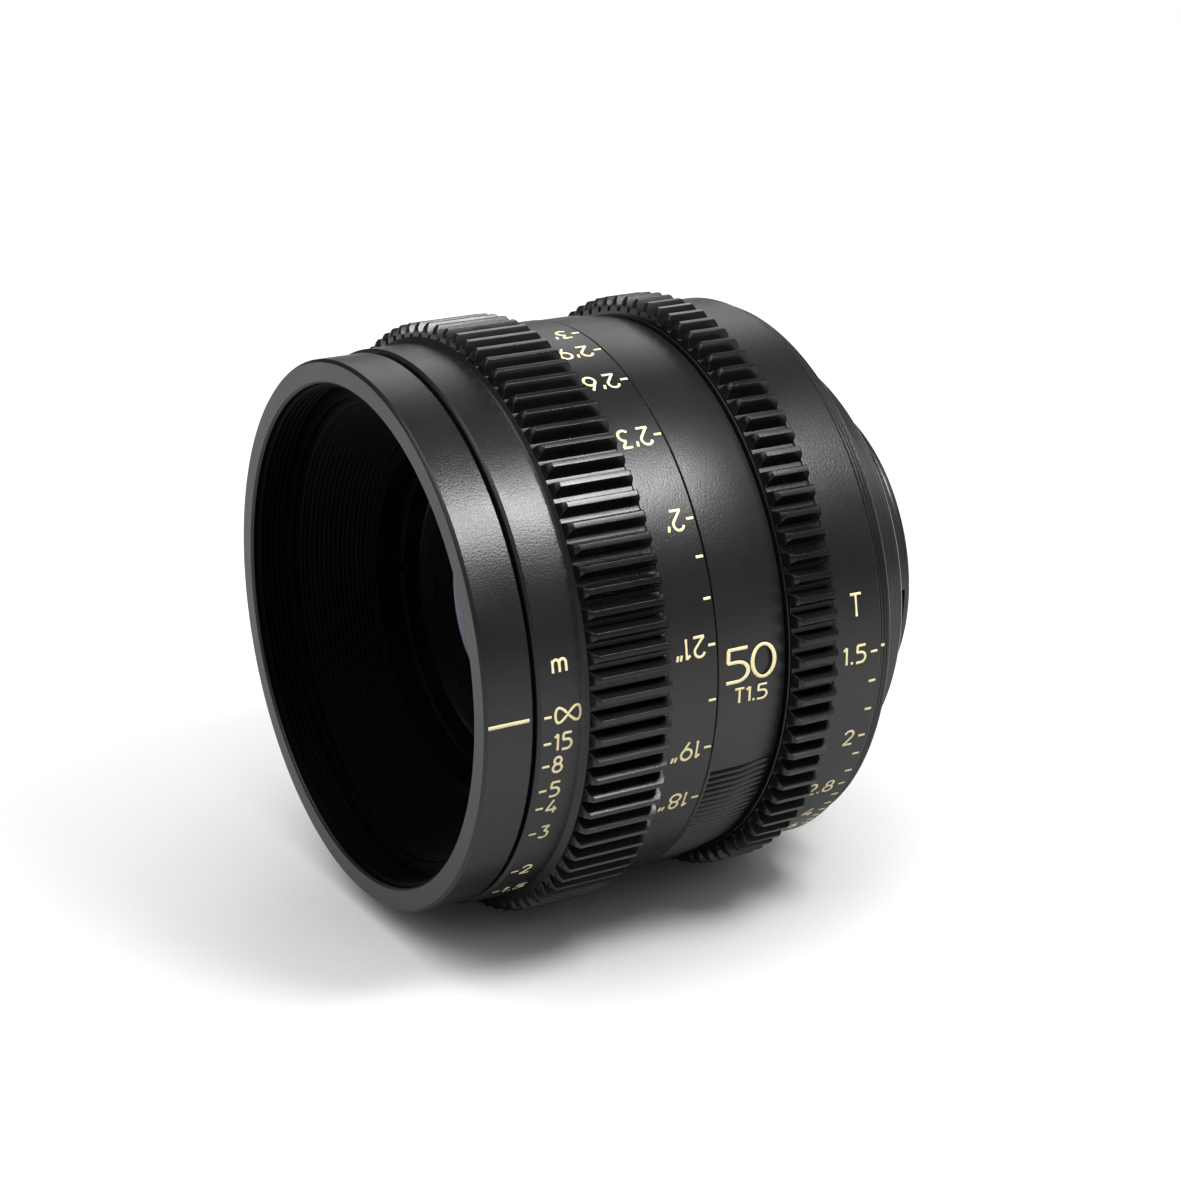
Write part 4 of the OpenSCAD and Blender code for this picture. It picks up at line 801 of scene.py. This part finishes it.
# A word laid on a ring of radius r: it reads rearwards, or forwards and upside down where towards is -1
def layWord(text, r, s, angle, size, stroke, towards=1, gap=letterGap, align="start", wide=1.0):
    laid = []
    x = -textWidth(text, size, gap) if align == "end" else 0
    for glyph in text:
        shape = glyphShape(glyph, size, stroke)
        copy = shape.copy()
        copy.data = shape.data.copy()
        bpy.context.collection.objects.link(copy)
        for vertex in copy.data.vertices:
            along = x + wide * vertex.co.x / mm
            up = vertex.co.y / mm - size / 2
            turn = math.radians(angle) + towards * up / r
            out = r * mm + vertex.co.z
            vertex.co = (out * math.cos(turn), place(s + towards * along), out * math.sin(turn))
        laid.append(copy)
        x += (wide * strokes[glyph][0] + gap) * size
    return laid


markSmooth = math.radians(50)


def makeScale(name, words, body):
    scale = joined(*[copy for word in words for copy in word])
    scale.name = scale.data.name = name
    bpy.ops.object.mode_set(mode="EDIT")
    bpy.ops.mesh.select_all(action="SELECT")
    bpy.ops.mesh.normals_make_consistent(inside=False)
    bpy.ops.object.mode_set(mode="OBJECT")
    bpy.ops.object.shade_smooth_by_angle(angle=markSmooth)
    return dressed(scale, creamPaint, body, "black_anodised")


metreScale = {"r": 34.4, "tick": 7.3, "tickLength": 0.95, "text": 8.75, "room": 3.35, "size": 2.0,
              "stroke": 0.33,
              "marks": (("i", 0), ("15", -5.5), ("8", -10.4), ("5", -16.1), ("4", -20.5), ("3", -27.5),
                        ("2", -40.7), ("1.5", -51.7), ("1.2", -66), ("1", -81.5), ("0.9", -92),
                        ("0.8", -105.5), ("0.7", -122.5), ("0.6", -146), ("0.5", -181), ("0.45", -206)),
              "unit": ("m", 10.2, 8.7)}
footScale = {"r": 35.1, "tick": 29.75, "tickLength": 0.95, "text": 28.3, "size": 2.4, "stroke": 0.33,
             "marks": (("18\"", -26.1), ("19\"", -13.3), ("", -3), ("21\"", 8.1), ("", 17), ("", 25),
                       ("2'", 32.5), ("2'3", 50.6), ("2'6", 65.5), ("2'9", 76.4), ("3'", 85.2), ("4'", 110),
                       ("5'", 125.4), ("6'", 135), ("8'", 146), ("10'", 152.8), ("15'", 162), ("30'", 171),
                       ("i", 180))}
irisScale = {"r": 35.2, "tick": 51.6, "tickLength": 0.95, "text": 50.8, "size": 2.16, "stroke": 0.33,
             "marks": (("1.5", 0), ("", -6.3), ("", -12.7), ("2", -19.2), ("", -24.1), ("", -29.2),
                       ("2.8", -33.4), ("", -37.4), ("", -41), ("4", -44), ("", -47), ("", -49.6),
                       ("5.6", -52), ("8", -59), ("11", -64.5), ("16", -70)),
             "unit": ("T", 10.0, 50.4), "unitSize": 2.7}


def makeMarks(m, t, f):
    words = []
    for text, angle in m["marks"]:
        words.append(layWord("-", m["r"], m["tick"], angle, m["tickLength"], m["stroke"]))
        size = min(m["size"], m["room"] / textWidth(text, 1))   # a long number ends before the gear
        words.append(layWord(text, m["r"], m["text"], angle, size, m["stroke"] * size / m["size"]))
    text, angle, s = m["unit"]
    words.append(layWord(text, m["r"], s, angle, m["size"], m["stroke"]))
    makeScale("metreScale", words, "focus")
    words = []
    for text, angle in f["marks"]:
        words.append(layWord("-", f["r"], f["tick"], angle, f["tickLength"], f["stroke"], -1))
        words.append(layWord(text, f["r"], f["text"], angle, f["size"], f["stroke"], -1))
    makeScale("footScale", [word for word in words if word], "focus")
    words = []
    for text, angle in t["marks"]:
        words.append(layWord("-", t["r"], t["tick"], angle, t["tickLength"], t["stroke"]))
        words.append(layWord(text, t["r"], t["text"], angle, t["size"], t["stroke"], align="end"))
    text, angle, s = t["unit"]
    words.append(layWord(text, t["r"], s, angle, t["unitSize"], t["stroke"], align="end"))
    makeScale("irisScale", [word for word in words if word], "iris")


makeMarks(metreScale, irisScale, footScale)

fixedMarks = {"frontIndex": ("-", 34.0, 0.4, 0.0, 5.2, 0.45), "irisIndex": ("-", 34.3, 53.75, 0.2, 0.5, 0.36),
              "rating": ("50", 35.0, 31.2, 2.85, 4.0, 0.42), "speed": ("T1.5", 35.0, 32.5, -3.5, 1.8, 0.28)}
for name in ("frontIndex", "irisIndex"):
    makeScale(name, [layWord(*fixedMarks[name])], "barrel")
ratingWord = layWord(*fixedMarks["rating"], gap=0.16, wide=1.25)
speedWord = layWord(*fixedMarks["speed"], gap=0.2, wide=1.2)
makeScale("ratingMarks", [ratingWord, speedWord], "barrel")
for shape in shapes.values():
    bpy.data.objects.remove(shape)
print("scales laid")

# What stays from the frame gets its finish
carriedFinish = {"steel": screwSteel, "brass": turnedBrass, "inner_anodised": innerAnodised,
                 "blade_black": leafBlack}
slotOf = {part["node"]: part["material_slot"] for part in frame["record"]["subparts"]}
for name, node in frame["nodes"].items():
    if slotOf[name] in carriedFinish:
        node.data.materials.clear()
        node.data.materials.append(carriedFinish[slotOf[name]])
print("carried nodes dressed")

# Stage: a pale floor whose glow carries a painted shadow near the lens, a small soft key that picks out the
# front ring, a rim light and a low fill
# The last two stage values set the reach and depth of a painted shadow: ambient occlusion darkens the floor's
# glow near the lens
stage = {"floorSize": 6.0, "floorZ": -0.0369, "floorColour": (0.5, 0.5, 0.5), "floorGlow": 0.7,
         "world": 0.14, "paintedShadow": 0.1, "paintedShadowPower": 1.7}
lamps = {
    "key": {"from": (0.451, 0.437, 0.779), "at": (0.026, 2.8, 0.022), "distance": 0.2, "size": 0.065,
            "power": 0.6},
    "rim": {"from": (-0.72, 0.47, 0.5), "at": (0.0, 31.0, 0.0), "distance": 0.6, "size": 0.3, "power": 0.75},
    "fill": {"from": (0.1, -0.9, 0.75), "at": (0.0, 31.0, 0.0), "distance": 0.9, "size": 0.6, "power": 1.2}}
overhead = {"tilt": (0.4, 0.0, 0), "strength": 1.5, "angle": 46}


def rayShare(nodes, links):
    rays = nodes.new("ShaderNodeLightPath")
    seen = rays.outputs["Is Camera Ray"]
    for name in ("Is Glossy Ray", "Is Transmission Ray"):
        most = nodes.new("ShaderNodeMath")
        most.operation = "MAXIMUM"
        links.new(seen, most.inputs[0])
        links.new(rays.outputs[name], most.inputs[1])
        seen = most.outputs["Value"]
    return seen


def makeStage(st):
    clearSelection()
    bpy.ops.mesh.primitive_plane_add(size=st["floorSize"], location=(0, 0, st["floorZ"]))
    floor = bpy.context.object
    floor.name = "floor"
    bpy.ops.object.transform_apply(location=True, rotation=True, scale=True)
    finish, nodes, links, shader = newFinish("paleFloor")
    shader.inputs["Base Color"].default_value = (*st["floorColour"], 1)
    shader.inputs["Roughness"].default_value = 0.9
    shader.inputs["Specular IOR Level"].default_value = 0.1
    glow = nodes.new("ShaderNodeMath")
    glow.operation = "MULTIPLY"
    glow.inputs[1].default_value = st["floorGlow"]
    links.new(rayShare(nodes, links), glow.inputs[0])
    # Painted shadow: ambient occlusion darkens the floor's glow under and around the lens
    paintedShadow = nodes.new("ShaderNodeAmbientOcclusion")
    paintedShadow.inputs["Distance"].default_value = st["paintedShadow"]
    paintedShadowDepth = nodes.new("ShaderNodeMath")
    paintedShadowDepth.operation = "POWER"
    paintedShadowDepth.inputs[1].default_value = st["paintedShadowPower"]
    links.new(paintedShadow.outputs["AO"], paintedShadowDepth.inputs[0])
    glowWithPaintedShadow = nodes.new("ShaderNodeMath")
    glowWithPaintedShadow.operation = "MULTIPLY"
    links.new(glow.outputs["Value"], glowWithPaintedShadow.inputs[0])
    links.new(paintedShadowDepth.outputs["Value"], glowWithPaintedShadow.inputs[1])
    shader.inputs["Emission Color"].default_value = (1, 1, 1, 1)
    links.new(glowWithPaintedShadow.outputs["Value"], shader.inputs["Emission Strength"])
    floor.data.materials.append(finish)
    world = bpy.data.worlds.new("studio")
    bpy.context.scene.world = world
    world.use_nodes = True
    nodes = world.node_tree.nodes
    background = nodes["Background"]
    background.inputs["Color"].default_value = (1, 1, 1, 1)
    background.inputs["Strength"].default_value = st["world"]


def makeLamps(lampSet):
    for name, lamp in lampSet.items():
        clearSelection()
        x, s, z = lamp["at"]
        target = Vector((x, place(s), z))
        spot = target + Vector(lamp["from"]).normalized() * lamp["distance"]
        bpy.ops.object.light_add(type="AREA", location=spot)
        light = bpy.context.object
        light.name = name
        light.rotation_euler = (target - spot).to_track_quat("-Z", "Y").to_euler()
        light.data.size = lamp["size"]
        light.data.energy = lamp["power"]


def makeOverhead(o):
    clearSelection()
    bpy.ops.object.light_add(type="SUN", location=(0, 0, 1), rotation=o["tilt"])
    light = bpy.context.object
    light.name = "overhead"
    light.data.energy = o["strength"]
    light.data.angle = math.radians(o["angle"])


makeStage(stage)
makeLamps(lamps)
makeOverhead(overhead)

view = {"from": (0.28939, -0.19546, 0.11818), "along": (-0.8172, 0.4704, -0.3330), "lens": 85}
clearSelection()
bpy.ops.object.camera_add(location=view["from"])
camera = bpy.context.object
camera.rotation_euler = Vector(view["along"]).to_track_quat("-Z", "Y").to_euler()
camera.data.lens = view["lens"]
camera.data.sensor_width = 36
camera.data.clip_start = 0.01
bpy.context.scene.camera = camera
bpy.context.scene.view_settings.view_transform = "Standard"
print("stage, lamps and camera set")
